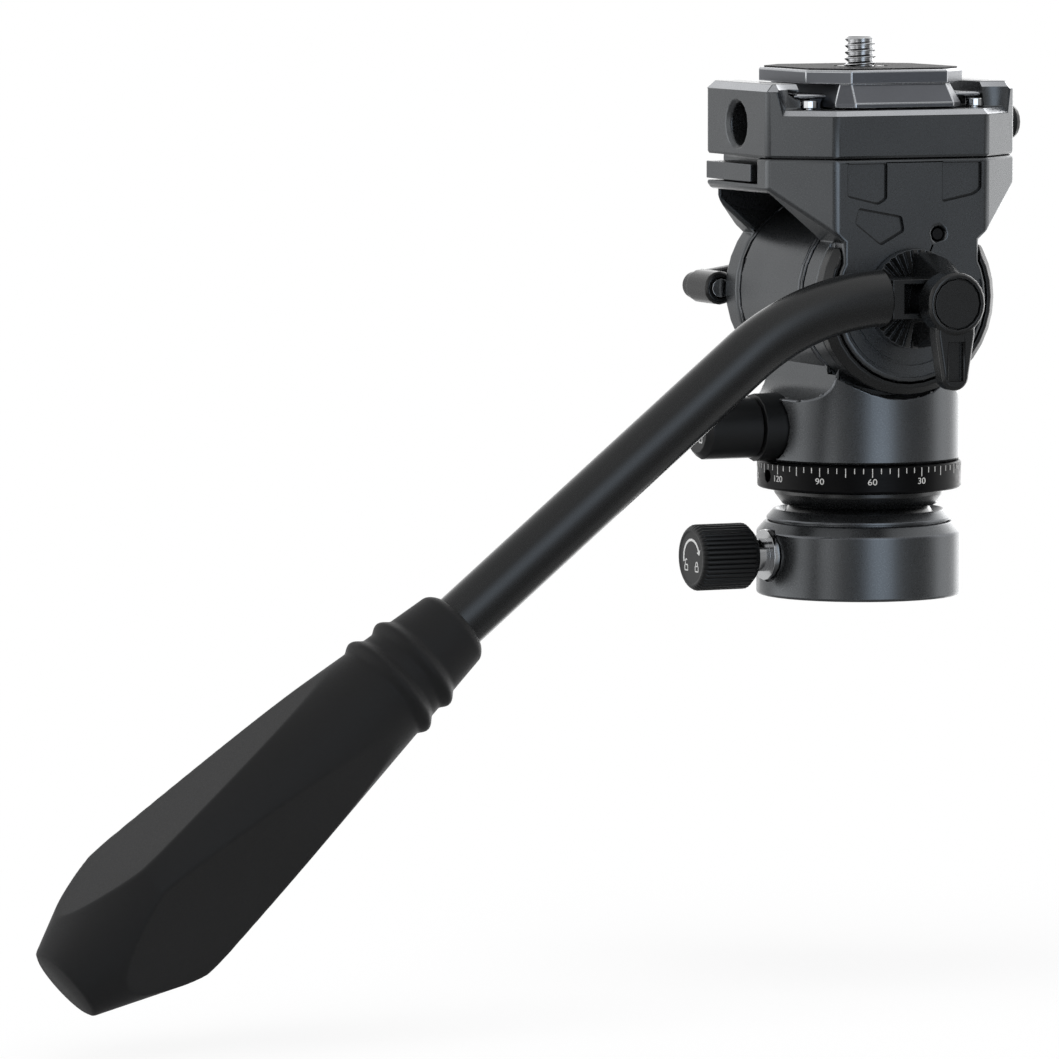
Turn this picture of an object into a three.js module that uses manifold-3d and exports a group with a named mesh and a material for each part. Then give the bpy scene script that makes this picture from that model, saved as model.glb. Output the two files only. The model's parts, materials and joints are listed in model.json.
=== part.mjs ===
import * as THREE from 'three';
import { mergeVertices } from 'three/addons/utils/BufferGeometryUtils.js';
import Module from 'manifold-3d';

const wasm = await Module();
wasm.setup();

// A small fluid video head on a levelling ball, in millimetres.
// Z is up along the pan axis, Y is the tilt axis, the handle points towards -X.
// The origin is on the pan axis at the underside of the base.

// Fits shared by all pieces
const fit = {
  gap: 0.3,
  overrun: 3,
  weld: 0.0005,
  smooth: 0.01,
};

// Facets round a full circle, by size of piece
const facets = { fine: 36, large: 24, medium: 16, small: 12, tiny: 8, arc: 4 };

// Base cup with its spherical seat, and the stepped collar that traps the ball
const base = {
  radius: 20.25,
  wallTop: 12.5,
  top: 14.5,
  topRadius: 18.5,
  edge: 0.45,
  floor: 2.9,
  seatRadius: 17.9,
  bossRadius: 7.9,
  bossTop: 8.3,
};
const collar = {
  radius: 18.25,
  skirtBottom: 10.8,
  stepTop: 15.25,
  top: 16.85,
  topRadius: 16.75,
  mouthRadius: 16.45,
  throatTop: 15.5,
};
const insert = { radius: 6, bore: 4, recess: 0.5 };

// Levelling ball, a hollow zone of a sphere about the lower knob's axis
const ball = {
  centre: 8.3,
  radius: 16.65,
  bottom: 4.85,
  neckBottom: 17.8,
  neckRadius: 15.2,
  flareTop: 20,
  flareRadius: 16.85,
  flangeTop: 20.9,
  hollow: 12.6,
  webBottom: 13.05,
  hubRadius: 12.15,
  hubTop: 24.65,
};
const liner = { thickness: 0.72, top: 7.4, bottom: 4.4, splitWidth: 7.2 };

// Graduated ring above the ball
const ring = { radius: 20.1, bottom: 21.15, top: 26.55, edge: 0.36 };
const ringScrew = { radius: 1.05, length: 3.6, height: 23.85 };

// Pan spindle with its nut, drag drum and thrust bearing
const spindle = { radius: 3.6, headRadius: 6.75, headHeight: 1.8 };
const spindleNut = { acrossFlats: 9.9, height: 2.25, chamfer: 0.45 };
const panDrag = { radius: 13.85, top: 36, groove: 0.9, grooveWidth: 1.25 };
const bearing = { radius: 10.8, height: 2.05, lip: 0.54 };

// Pan body: round below, waisted in the middle, with the tilt drum on top
const pan = {
  radius: 20,
  bottom: 26.8,
  axisRise: 32.6,
  edge: 0.45,
  ledge: 39.25,
  waistRadius: 5.4,
  waistHalf: 12.7,
  recessRadius: 15.5,
  nutPocket: 7.55,
  discClearance: 0.81,
};
const retainer = { height: 1.8, bore: 4.7 };
const drum = {
  radius: 18.65,
  near: -11.8,
  far: 16.75,
  bore: 14.85,
  farWall: 3.6,
  capThickness: 2.05,
  grooveInset: 0.8,
  grooveDepth: 0.4,
  grooveWidth: 0.5,
};
const stator = { thickness: 8.1 };

// Knobs of the two lower locks, both on the operator's side
const panKnob = {
  radius: 5.95,
  outer: 35.65,
  inner: 23.6,
  rimWidth: 1.25,
  bushRadius: 6.65,
  bushReach: 23.2,
  bushRoot: 17.65,
  studRadius: 2,
  studDepth: 8.1,
  shoeLength: 1.45,
};
const panKnobHeight = pan.bottom + panKnob.bushRadius;
const baseKnob = {
  radius: 6.5,
  outer: 36.65,
  inner: 23.95,
  chamfer: 1.45,
  rimWidth: 0.9,
  ribs: 40,
  ribDepth: 0.22,
  flangeRadius: 5.05,
  flangeThickness: 1.25,
  spotDepth: 0.9,
  neckRadius: 3.25,
  studRadius: 2,
  studDepth: 8.1,
  shoeLength: 1.25,
};

// Tilt block: heights are above the tilt axis from here on
const tilt = { height: pan.bottom + pan.axisRise, axleRadius: 4.15, bearingRadius: 7.2 };
const yoke = {
  halfLength: 27,
  halfWidth: 22.7,
  endHalfWidth: 13.5,
  frontHalfLength: 16.45,
  top: 27.3,
  webUnder: 20.35,
  sideBottom: 21.4,
  slopeBottom: 12.6,
  neckHalf: 14.75,
  neckHeight: 11.05,
  discRadius: 18.65,
  bossRadius: 16.4,
  discFront: -18.2,
  nearInner: -12.05,
  farInner: 17,
};
const bossGroove = { radii: [12.4, 14.8], width: 0.7, depth: 0.5, top: 3.5 };
const pocket = { depth: 0.63, cornerRadius: 0.72 };
const yokeScrew = { radius: 1.15, x: 5.85, height: 12.4, depth: 4.5, recess: 0.54 };
const cheekRing = { radius: 18.9, front: -22.25, back: -18.45, chamfer: 1.45, topCut: 10.1 };
const rosette = {
  radius: 9.7,
  front: -25.2,
  teeth: 36,
  toothHeight: 0.81,
  innerRadius: 3.95,
  innerShare: 0.3,
};

// Lock slider in the left end of the yoke
const slider = {
  slotStart: -8.75,
  travel: 2.15,
  bottom: 22.5,
  height: 3.4,
  depth: 6.3,
  proud: 0.18,
};

// Quick-release receiver on top of the yoke
const receiver = {
  bottom: 27.6,
  deck: 36.65,
  jawTop: 41.65,
  jawInner: 20,
  jawChamfer: 1.55,
  chamfer: 1.1,
  splitChamfer: 0.27,
  scoopRadius: 6.1,
  scoopTopRadius: 7.1,
  scoopX: 20.6,
  scoopY: 20.2,
};
const endHole = { radius: 4.05, rimRadius: 4.95, rimDepth: 0.81, depth: 5.85, height: 33.55 };
const deckScrew = {
  x: 18,
  y: 13.7,
  headRadius: 1.7,
  headHeight: 1.45,
  shankRadius: 0.9,
  length: 4.5,
  socket: 0.81,
};
const jaw = {
  thickness: 2.4,
  halfWidth: 10.8,
  flangeReach: 21.2,
  flangeHalfWidth: 13.2,
  flangeHeight: 0.9,
  top: 39.6,
  open: 2.15,
  edge: 0.3,
};
const pushRod = { width: 5.4, height: 2.7, bottom: 31.7 };
const button = { radius: 3.6, reach: 34.4, dome: 1.45, travel: 2.15, boreDepth: 6.3 };

// Camera plate and its screw
const plate = {
  half: 17.1,
  cornerHalf: 10.45,
  thickness: 2.7,
  footHeight: 0.9,
  flareHeight: 3.7,
  edge: 0.36,
  screwClearance: 3.55,
  pocketRadius: 7.6,
  pocketDepth: 3.05,
};
const plateFoot = { halfX: 13.65, halfY: 19.4, corner: 3 };
const plateNeck = { halfX: 11.95, halfY: 16.7, corner: 1.7 };
const pad = { thickness: 0.72, proud: 0.3, inset: 0.9, holeRadius: 5.4 };
const cameraScrew = {
  radius: 3.15,
  proud: 5.92,
  tip: 0.63,
  headRadius: 6.85,
  headHeight: 2,
  slotWidth: 1.45,
  slotDepth: 1.1,
};
const washer = { radius: 4.7, height: 0.54 };

// Handle: the hub on the rosette, the bent tube, the rubber grip and the clamping lever
const hub = {
  radius: 9.2,
  toothBase: 2.15,
  coneEnd: 37.1,
  coneRadius: 6.05,
  shoulder: 28.1,
  cutX: 1.3,
  coreRadius: 5,
  bore: 2.95,
  tangRadius: 3.8,
  tangLength: 4.5,
};
const tongue = { front: 36.75, back: 28.5, bottom: -3, top: 4.6, slotX: 8.7, slotDepth: 5.4, slotEdge: 1 };
const tube = {
  plane: 32.95,
  radius: 5.5,
  wall: 1.25,
  startX: 11.55,
  startHeight: 1,
  startDeg: 3,
  endDeg: 38.8,
  bendRadius: 49.5,
  straightStart: 0.9,
  endShare: 0.1,
};
const grip = {
  start: 109.25,
  length: 102.35,
  startRadius: 7.65,
  peak: 80.45,
  peakRadius: 17.4,
  endRadius: 7.85,
  crestDrop: 0.41,
  crestReach: 5.4,
  collarReach: 1.8,
  collarDrop: 1.15,
  beadHeight: 1.15,
  beadReach: 2.35,
  firstBead: 11.6,
  secondBead: 18,
  flat: 10.9,
  bore: 5.75,
  boreDepth: 40.05,
};
const lever = {
  back: 37.35,
  front: 42.3,
  radius: 6.1,
  capRadius: 4.75,
  capRecess: 0.45,
  armLength: 16.75,
  armEndRadius: 2.9,
  armRootHalf: 4.15,
  armThickness: 3.95,
  pocketDepth: 1.1,
  pocketHalf: 1.55,
  pocketStart: 7.4,
  pocketEnd: 14.95,
  bore: 2.9,
  edge: 0.54,
};
const handleStud = { radius: 2.6, end: 40.5, nutRadius: 4.15, nutHeight: 1.8 };

// Tilt lock on the far side
const tiltLock = {
  hubRadius: 5.6,
  hubStart: 22.95,
  hubEnd: 36.45,
  armLength: 18.9,
  armHalf: 2.7,
  armThickness: 3.25,
  gripRadius: 3.35,
  gripStart: 23.6,
  screwRadius: 1.35,
  screwHead: 1.9,
  headHeight: 0.72,
  studRadius: 2.25,
  edge: 0.54,
};

// Finishes, as colour, roughness and metalness
const finishes = {
  anodised: [0x3d4045, 0.42, 0.75],
  machined: [0x9a9c9e, 0.35, 0.8],
  black: [0x18191b, 0.45, 0.3],
  satinBlack: [0x1d1d1f, 0.38, 0.5],
  steel: [0xb9bcc0, 0.25, 1],
  brass: [0xb08d4a, 0.35, 1],
  nylon: [0xd9d6cc, 0.6, 0],
  rubber: [0x1b1b1c, 0.85, 0],
};

// Directions that a profile or an outline can be laid along
const bases = {
  x: [new THREE.Vector3(0, 1, 0), new THREE.Vector3(0, 0, 1), new THREE.Vector3(1, 0, 0)],
  y: [new THREE.Vector3(1, 0, 0), new THREE.Vector3(0, 0, 1), new THREE.Vector3(0, 1, 0)],
  z: [new THREE.Vector3(1, 0, 0), new THREE.Vector3(0, 1, 0), new THREE.Vector3(0, 0, 1)],
};

// A closed surface made of loose triangles becomes a solid with its faces outwards
function solidFrom(geometry) {
  const plain = geometry.clone();
  plain.deleteAttribute('normal');
  plain.deleteAttribute('uv');
  const merged = mergeVertices(plain, fit.weld);
  const corners = [];
  const index = merged.index.array;
  for (let i = 0; i < index.length; i += 3) {
    const [a, b, c] = [index[i], index[i + 1], index[i + 2]];
    if (a !== b && b !== c && c !== a) corners.push(a, b, c);
  }
  const vertProperties = merged.attributes.position.array;
  const made = new wasm.Manifold(
    new wasm.Mesh({ numProp: 3, vertProperties, triVerts: new Uint32Array(corners) }),
  );
  if (made.volume() > 0) return made;
  return new wasm.Manifold(
    new wasm.Mesh({ numProp: 3, vertProperties, triVerts: new Uint32Array(corners.reverse()) }),
  );
}

function laid(geometry, axis, at = [0, 0, 0]) {
  geometry.applyMatrix4(new THREE.Matrix4().makeBasis(...bases[axis]));
  geometry.translate(...at);
  return solidFrom(geometry);
}

// A profile of [radius, distance along the axis] pairs turned round an axis
function turned(profile, count = facets.medium, axis = 'z', at) {
  const points = profile.map(([r, h]) => new THREE.Vector2(r, h));
  const first = points[0];
  const last = points[points.length - 1];
  if (first.x > 0 || last.x > 0) points.push(first.clone());
  const geometry = new THREE.LatheGeometry(points, count);
  geometry.rotateX(Math.PI / 2);
  return laid(geometry, axis, at);
}

function disc(radius, from, to, count, axis, at) {
  return turned([[0, from], [radius, from], [radius, to], [0, to]], count, axis, at);
}

// A disc with chamfered rims at one or both ends
function chamferedDisc(radius, from, to, low, high, count, axis, at) {
  const profile = [[0, from], [radius - low, from]];
  if (low > 0) profile.push([radius, from + low]);
  if (high > 0) profile.push([radius, to - high]);
  profile.push([radius - high, to], [0, to]);
  return turned(profile, count, axis, at);
}

function tubeRing(inner, outer, from, to, count, axis, at) {
  return turned([[inner, from], [outer, from], [outer, to], [inner, to]], count, axis, at);
}

// An outline pushed along an axis between two places, with an optional bevel at both ends
function prism(outline, from, to, axis, bevel = 0) {
  const points = Array.isArray(outline) && outline.map(([u, v]) => new THREE.Vector2(u, v));
  const shape = points ? new THREE.Shape(points) : outline;
  const geometry = new THREE.ExtrudeGeometry(shape, {
    depth: to - from - 2 * bevel,
    bevelEnabled: bevel > 0,
    bevelThickness: bevel,
    bevelSize: bevel,
    bevelOffset: -bevel,
    bevelSegments: 1,
    curveSegments: facets.tiny,
  });
  geometry.translate(0, 0, from + bevel);
  return laid(geometry, axis);
}

function block(x0, x1, y0, y1, z0, z1) {
  const geometry = new THREE.BoxGeometry(x1 - x0, y1 - y0, z1 - z0);
  return laid(geometry, 'z', [(x0 + x1) / 2, (y0 + y1) / 2, (z0 + z1) / 2]);
}

// A closed skin over rings of points, each ring closed by a fan at the two ends
function skin(rings) {
  const positions = [];
  const count = rings[0].length;
  const put = (...points) => points.forEach((p) => positions.push(p.x, p.y, p.z));
  const middle = (loop) => loop.reduce((sum, p) => sum.add(p), new THREE.Vector3()).divideScalar(count);
  const ends = [middle(rings[0]), middle(rings[rings.length - 1])];
  for (let i = 0; i < count; i += 1) {
    const j = (i + 1) % count;
    put(ends[0], rings[0][j], rings[0][i]);
    put(ends[1], rings[rings.length - 1][i], rings[rings.length - 1][j]);
    for (let k = 0; k + 1 < rings.length; k += 1) {
      put(rings[k][i], rings[k][j], rings[k + 1][j]);
      put(rings[k][i], rings[k + 1][j], rings[k + 1][i]);
    }
  }
  const geometry = new THREE.BufferGeometry();
  geometry.setAttribute('position', new THREE.Float32BufferAttribute(positions, 3));
  return solidFrom(geometry);
}

function joined(first, ...rest) {
  return rest.reduce((sum, piece) => sum.add(piece), first);
}

function cut(solid, ...cutters) {
  return cutters.reduce((left, cutter) => left.subtract(cutter), solid);
}

// A solid as a named mesh with its own material
function named(name, finish, solid) {
  const made = solid.asOriginal().simplify(fit.smooth).getMesh();
  const geometry = new THREE.BufferGeometry();
  geometry.setAttribute('position', new THREE.BufferAttribute(made.vertProperties, 3));
  geometry.setIndex(new THREE.BufferAttribute(made.triVerts, 1));
  const flat = geometry.toNonIndexed();
  flat.computeVertexNormals();
  const [color, roughness, metalness] = finishes[finish];
  const mesh = new THREE.Mesh(flat, new THREE.MeshStandardMaterial({ color, roughness, metalness }));
  mesh.name = name;
  return mesh;
}

function groupAt(position, ...children) {
  const group = new THREE.Group();
  group.position.set(...position);
  group.add(...children);
  return group;
}

// Points along a meridian of a sphere about the ball's centre, as [radius, height]
function sphereArc(radius, fromHeight, toHeight, steps) {
  const from = Math.asin((fromHeight - ball.centre) / radius);
  const to = Math.asin((toHeight - ball.centre) / radius);
  return Array.from({ length: steps + 1 }, (_, i) => {
    const angle = from + ((to - from) * i) / steps;
    return [radius * Math.cos(angle), ball.centre + radius * Math.sin(angle)];
  });
}

function alongMinusX(from, to, radius, height, count) {
  return disc(radius, -to, -from, count, 'x', [0, 0, height]);
}

// The plan of the block: a rectangle with its four corners cut off
function blockPlan(inset = 0) {
  const x = yoke.halfLength - inset;
  const y = yoke.halfWidth - inset;
  const endY = yoke.endHalfWidth - inset / 2;
  const frontX = yoke.frontHalfLength - inset / 2;
  return [
    [x, -endY], [x, endY], [frontX, y], [-frontX, y],
    [-x, endY], [-x, -endY], [-frontX, -y], [frontX, -y],
  ];
}

// Base: the cup turned in one piece, bored from the side for the lower lock
function makeBaseCup() {
  const bore = insert.radius + fit.gap;
  const floorRadius = Math.sqrt(base.seatRadius ** 2 - (base.floor - ball.centre) ** 2);
  const seat = sphereArc(base.seatRadius, base.floor, ball.centre, facets.arc).reverse();
  const cup = turned(
    [
      [bore, 0],
      [base.radius - base.edge, 0],
      [base.radius, base.edge],
      [base.radius, base.wallTop],
      [base.topRadius, base.top],
      [base.seatRadius, base.top],
      ...seat.slice(0, -1),
      [floorRadius, base.floor],
      [base.bossRadius, base.floor],
      [base.bossRadius, base.bossTop],
      [bore, base.bossTop],
    ],
    facets.fine,
  );
  const outside = base.radius + fit.overrun;
  const studRoom = baseKnob.studRadius + fit.gap;
  const studBore = alongMinusX(ball.radius, outside, studRoom, ball.centre, facets.small);
  const flangeRoom = baseKnob.flangeRadius + fit.gap;
  const spotStart = base.radius - baseKnob.spotDepth;
  const spot = alongMinusX(spotStart, outside, flangeRoom, ball.centre, facets.medium);
  return cut(cup, studBore, spot);
}

function makeCollar() {
  const skirt = base.seatRadius - fit.gap;
  const seatRadius = ball.radius + fit.gap;
  const seat = sphereArc(seatRadius, collar.skirtBottom, collar.throatTop, facets.arc / 2);
  return turned(
    [
      [skirt, collar.skirtBottom],
      [skirt, base.top + fit.gap],
      [collar.radius, base.top + fit.gap],
      [collar.radius, collar.stepTop],
      [collar.topRadius, collar.top],
      [collar.mouthRadius, collar.top],
      ...seat.reverse(),
    ],
    facets.fine,
  );
}

function makeThreadInsert() {
  return tubeRing(insert.bore, insert.radius, insert.recess, base.bossTop, facets.medium);
}

function makeBallLiner() {
  const inner = ball.radius + fit.gap;
  const outer = inner + liner.thickness;
  const outside = sphereArc(outer, liner.bottom, liner.top, 1);
  const inside = sphereArc(inner, liner.bottom, liner.top, 1);
  const zone = turned([...outside, ...inside.reverse()], facets.large);
  const half = liner.splitWidth / 2;
  return cut(zone, block(-base.radius, 0, -half, half, 0, base.top));
}

function makeBall() {
  const bore = spindle.radius + fit.gap;
  return turned(
    [
      [ball.hollow, ball.bottom],
      ...sphereArc(ball.radius, ball.bottom, ball.neckBottom, facets.arc * 1.5),
      [ball.neckRadius, ball.neckBottom],
      [ball.flareRadius, ball.flareTop],
      [ball.flareRadius, ball.flangeTop],
      [ball.hubRadius, ball.flangeTop],
      [ball.hubRadius, ball.hubTop],
      [bore, ball.hubTop],
      [bore, ball.webBottom],
      [ball.hollow, ball.webBottom],
    ],
    facets.large,
  );
}

function makeGraduatedRing() {
  const inner = ball.hubRadius + fit.gap;
  const body = turned(
    [
      [inner, ring.bottom],
      [ring.radius - ring.edge, ring.bottom],
      [ring.radius, ring.bottom + ring.edge],
      [ring.radius, ring.top - ring.edge],
      [ring.radius - ring.edge, ring.top],
      [inner, ring.top],
    ],
    facets.fine,
  );
  const outside = ring.radius + fit.overrun;
  const room = ringScrew.radius + fit.gap;
  const hole = alongMinusX(ball.hubRadius, outside, room, ringScrew.height, facets.tiny);
  return cut(body, hole);
}

function makeRingScrew() {
  const from = ball.hubRadius + fit.gap;
  return alongMinusX(from, from + ringScrew.length, ringScrew.radius, ringScrew.height, facets.tiny);
}

// Pan spindle: a headed shaft through the ball's web
const spindleHeadTop = ball.webBottom - fit.gap;
const panRoof = panDrag.top + fit.gap;
const nutBottom = panDrag.top + fit.gap;
const nutTop = nutBottom + spindleNut.height;

function makeSpindle() {
  return turned([
    [0, spindleHeadTop - spindle.headHeight],
    [spindle.headRadius, spindleHeadTop - spindle.headHeight],
    [spindle.headRadius, spindleHeadTop],
    [spindle.radius, spindleHeadTop],
    [spindle.radius, nutTop],
    [0, nutTop],
  ]);
}

function hexagon(acrossFlats) {
  const radius = acrossFlats / Math.sqrt(3);
  return Array.from({ length: 6 }, (_, i) => {
    const angle = (Math.PI / 3) * i;
    return [radius * Math.cos(angle), radius * Math.sin(angle)];
  });
}

function makeSpindleNut() {
  const nut = prism(hexagon(spindleNut.acrossFlats), nutBottom, nutTop, 'z', spindleNut.chamfer);
  const bore = disc(spindle.radius + fit.gap, nutBottom - fit.overrun, nutTop + fit.overrun, facets.small);
  return cut(nut, bore);
}

const bearingBottom = ball.hubTop + fit.gap;
const retainerBottom = bearingBottom + bearing.height + fit.gap;
const dragBottom = retainerBottom + retainer.height + fit.gap;

function makeThrustBearing() {
  const inner = spindle.radius + fit.gap;
  const mid = (inner + bearing.radius) / 2;
  const top = bearingBottom + bearing.height;
  const half = (bearingBottom + top) / 2;
  return turned([
    [inner, bearingBottom],
    [bearing.radius, bearingBottom],
    [bearing.radius, half - bearing.lip / 2],
    [mid, half - bearing.lip / 2],
    [mid, half + bearing.lip / 2],
    [bearing.radius, half + bearing.lip / 2],
    [bearing.radius, top],
    [inner, top],
  ]);
}

function makePanDragDrum() {
  const inner = spindle.radius + fit.gap;
  const middle = (dragBottom + panKnobHeight - panKnob.studRadius) / 2;
  return turned([
    [inner, dragBottom],
    [panDrag.radius, dragBottom],
    [panDrag.radius, middle - panDrag.grooveWidth / 2],
    [panDrag.radius - panDrag.groove, middle - panDrag.grooveWidth / 2],
    [panDrag.radius - panDrag.groove, middle + panDrag.grooveWidth / 2],
    [panDrag.radius, middle + panDrag.grooveWidth / 2],
    [panDrag.radius, panDrag.top],
    [inner, panDrag.top],
  ], facets.large);
}

// Pan body: the round lower part, the waist cut by two long fillets, and the drum
function makePanBody() {
  const drumTop = tilt.height;
  const lower = turned(
    [
      [0, pan.bottom],
      [pan.radius - pan.edge, pan.bottom],
      [pan.radius, pan.bottom + pan.edge],
      [pan.radius, drumTop - drum.radius / 2],
      [0, drumTop - drum.radius / 2],
    ],
    facets.fine,
  );
  const reach = pan.radius + fit.overrun;
  const waist = new THREE.Shape();
  const centreX = pan.waistHalf + pan.waistRadius;
  waist.moveTo(reach, pan.ledge);
  waist.lineTo(reach, drumTop);
  waist.lineTo(pan.waistHalf, drumTop);
  waist.lineTo(pan.waistHalf, pan.ledge + pan.waistRadius);
  waist.absarc(centreX, pan.ledge + pan.waistRadius, pan.waistRadius, Math.PI, 1.5 * Math.PI, false);
  const right = prism(waist, -reach, reach, 'y');
  const left = right.mirror([1, 0, 0]);
  const axis = [0, 0, tilt.height];
  const nearRoom = cheekRing.radius + pan.discClearance;
  const nearSweep = disc(nearRoom, -reach, drum.near, facets.fine, 'y', axis);
  const farRoom = yoke.discRadius + pan.discClearance;
  const farSweep = disc(farRoom, drum.far, reach, facets.fine, 'y', axis);
  const stem = cut(lower, right, left, nearSweep, farSweep);
  return cut(joined(stem, makeDrumShell()), ...panBodyHollows());
}

// The drum has a shallow groove just inside each end
function makeDrumShell() {
  const outer = drum.radius;
  const inner = drum.radius - drum.grooveDepth;
  const profile = [[0, drum.near], [outer, drum.near]];
  [drum.near + drum.grooveInset, drum.far - drum.grooveInset - drum.grooveWidth].forEach((start) => {
    const end = start + drum.grooveWidth;
    profile.push([outer, start], [inner, start], [inner, end], [outer, end]);
  });
  profile.push([outer, drum.far], [0, drum.far]);
  return turned(profile, facets.fine, 'y', [0, 0, tilt.height]);
}

function panBodyHollows() {
  const at = [0, 0, tilt.height];
  const below = pan.bottom - fit.overrun;
  const recess = disc(pan.recessRadius, below, panRoof, facets.large);
  const nutRoom = disc(pan.nutPocket, below, nutTop + fit.gap, facets.medium);
  const chamberEnd = drum.far - drum.farWall;
  const chamber = disc(drum.bore, drum.near - fit.overrun, chamberEnd, facets.large, 'y', at);
  const seat = tilt.bearingRadius + fit.gap;
  const farBore = disc(seat, drum.near, drum.far + fit.overrun, facets.medium, 'y', at);
  const bushStart = panKnob.bushRoot - fit.gap;
  const bushRoom = panKnob.bushRadius + fit.gap;
  const bushHole = alongMinusX(bushStart, panKnob.outer, bushRoom, panKnobHeight, facets.medium);
  const studRoom = panKnob.studRadius + fit.gap;
  const studHole = alongMinusX(panDrag.radius, panKnob.outer, studRoom, panKnobHeight, facets.small);
  return [recess, nutRoom, chamber, farBore, bushHole, studHole];
}

function makePanRetainer() {
  const outer = pan.recessRadius - fit.gap;
  const top = retainerBottom + retainer.height;
  return tubeRing(retainer.bore, outer, retainerBottom, top, facets.large);
}

function makeDrumEndCap() {
  const outer = drum.bore - fit.gap;
  const inner = tilt.bearingRadius + fit.gap;
  return tubeRing(inner, outer, drum.near, drum.near + drum.capThickness, facets.large, 'y');
}

function makeTiltBearing(from, to) {
  return tubeRing(tilt.axleRadius + fit.gap, tilt.bearingRadius, from, to, facets.medium, 'y');
}

const statorStart = drum.near + drum.capThickness + fit.gap;
const statorEnd = statorStart + stator.thickness;
const rotorStart = statorEnd + fit.gap;
const rotorEnd = drum.far - drum.farWall - fit.gap;

function makeDragRing(from, to) {
  const inner = tilt.axleRadius + fit.gap;
  return tubeRing(inner, drum.bore - fit.gap, from, to, facets.large, 'y');
}

function makeTiltStator() {
  return makeDragRing(statorStart, statorEnd);
}

function makeTiltRotor() {
  return makeDragRing(rotorStart, rotorEnd);
}

// Knobs, turned about their own stud and pointing away from the body
function makePanKnobBush() {
  const { bushRoot, bushReach, bushRadius } = panKnob;
  const bush = alongMinusX(bushRoot, bushReach, bushRadius, 0, facets.medium);
  return cut(bush, alongMinusX(0, panKnob.outer, panKnob.studRadius + fit.gap, 0, facets.small));
}

function makePanKnob() {
  const r = panKnob.radius;
  const rim = panKnob.rimWidth;
  const body = turned(
    [
      [0, -panKnob.outer],
      [r - rim, -panKnob.outer],
      [r, rim - panKnob.outer],
      [r, -panKnob.inner],
      [0, -panKnob.inner],
    ],
    facets.medium,
    'x',
  );
  const depth = panKnob.inner + panKnob.studDepth + fit.gap;
  const bore = alongMinusX(0, depth, panKnob.studRadius + fit.gap, 0, facets.small);
  return cut(body, bore);
}

function makePanKnobStud() {
  const tip = panDrag.radius + 2 * fit.gap + panKnob.shoeLength + fit.gap;
  return alongMinusX(tip, panKnob.inner + panKnob.studDepth, panKnob.studRadius, 0, facets.small);
}

function makePanBrakeShoe() {
  const from = panDrag.radius + fit.gap;
  return alongMinusX(from, from + panKnob.shoeLength, panKnob.studRadius, 0, facets.small);
}

function makeBaseKnob() {
  const shape = new THREE.Shape();
  for (let i = 0; i < baseKnob.ribs * 2; i += 1) {
    const radius = baseKnob.radius - (i % 2) * baseKnob.ribDepth;
    const angle = (Math.PI * i) / baseKnob.ribs;
    const point = [radius * Math.cos(angle), radius * Math.sin(angle)];
    if (i) shape.lineTo(...point);
    else shape.moveTo(...point);
  }
  const ribbed = prism(shape, -baseKnob.outer, -baseKnob.inner, 'x');
  const envelope = turned(
    [
      [0, -baseKnob.outer],
      [baseKnob.radius - baseKnob.rimWidth, -baseKnob.outer],
      [baseKnob.radius + fit.gap, baseKnob.rimWidth - baseKnob.outer],
      [baseKnob.radius + fit.gap, -baseKnob.inner - baseKnob.chamfer],
      [baseKnob.radius - baseKnob.chamfer, -baseKnob.inner],
      [0, -baseKnob.inner],
    ],
    facets.large,
    'x',
  );
  const depth = baseKnob.inner + baseKnob.studDepth + fit.gap;
  const bore = alongMinusX(0, depth, baseKnob.studRadius + fit.gap, 0, facets.small);
  return cut(ribbed.intersect(envelope), bore);
}

function makeBaseKnobStud() {
  const seat = base.radius - baseKnob.spotDepth + fit.gap;
  const tip = ball.radius + fit.gap + baseKnob.shoeLength + fit.gap;
  return turned(
    [
      [0, -baseKnob.inner - baseKnob.studDepth],
      [baseKnob.studRadius, -baseKnob.inner - baseKnob.studDepth],
      [baseKnob.studRadius, fit.gap - baseKnob.inner],
      [baseKnob.neckRadius, fit.gap - baseKnob.inner],
      [baseKnob.neckRadius, -seat - baseKnob.flangeThickness],
      [baseKnob.flangeRadius, -seat - baseKnob.flangeThickness],
      [baseKnob.flangeRadius, -seat],
      [baseKnob.studRadius, -seat],
      [baseKnob.studRadius, -tip],
      [0, -tip],
    ],
    facets.medium,
    'x',
  );
}

function makeBallBrakeShoe() {
  const from = ball.radius + fit.gap;
  return alongMinusX(from, from + baseKnob.shoeLength, baseKnob.studRadius, 0, facets.small);
}

const yokeScrewPlace = [yokeScrew.x, 0, yokeScrew.height];

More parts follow.
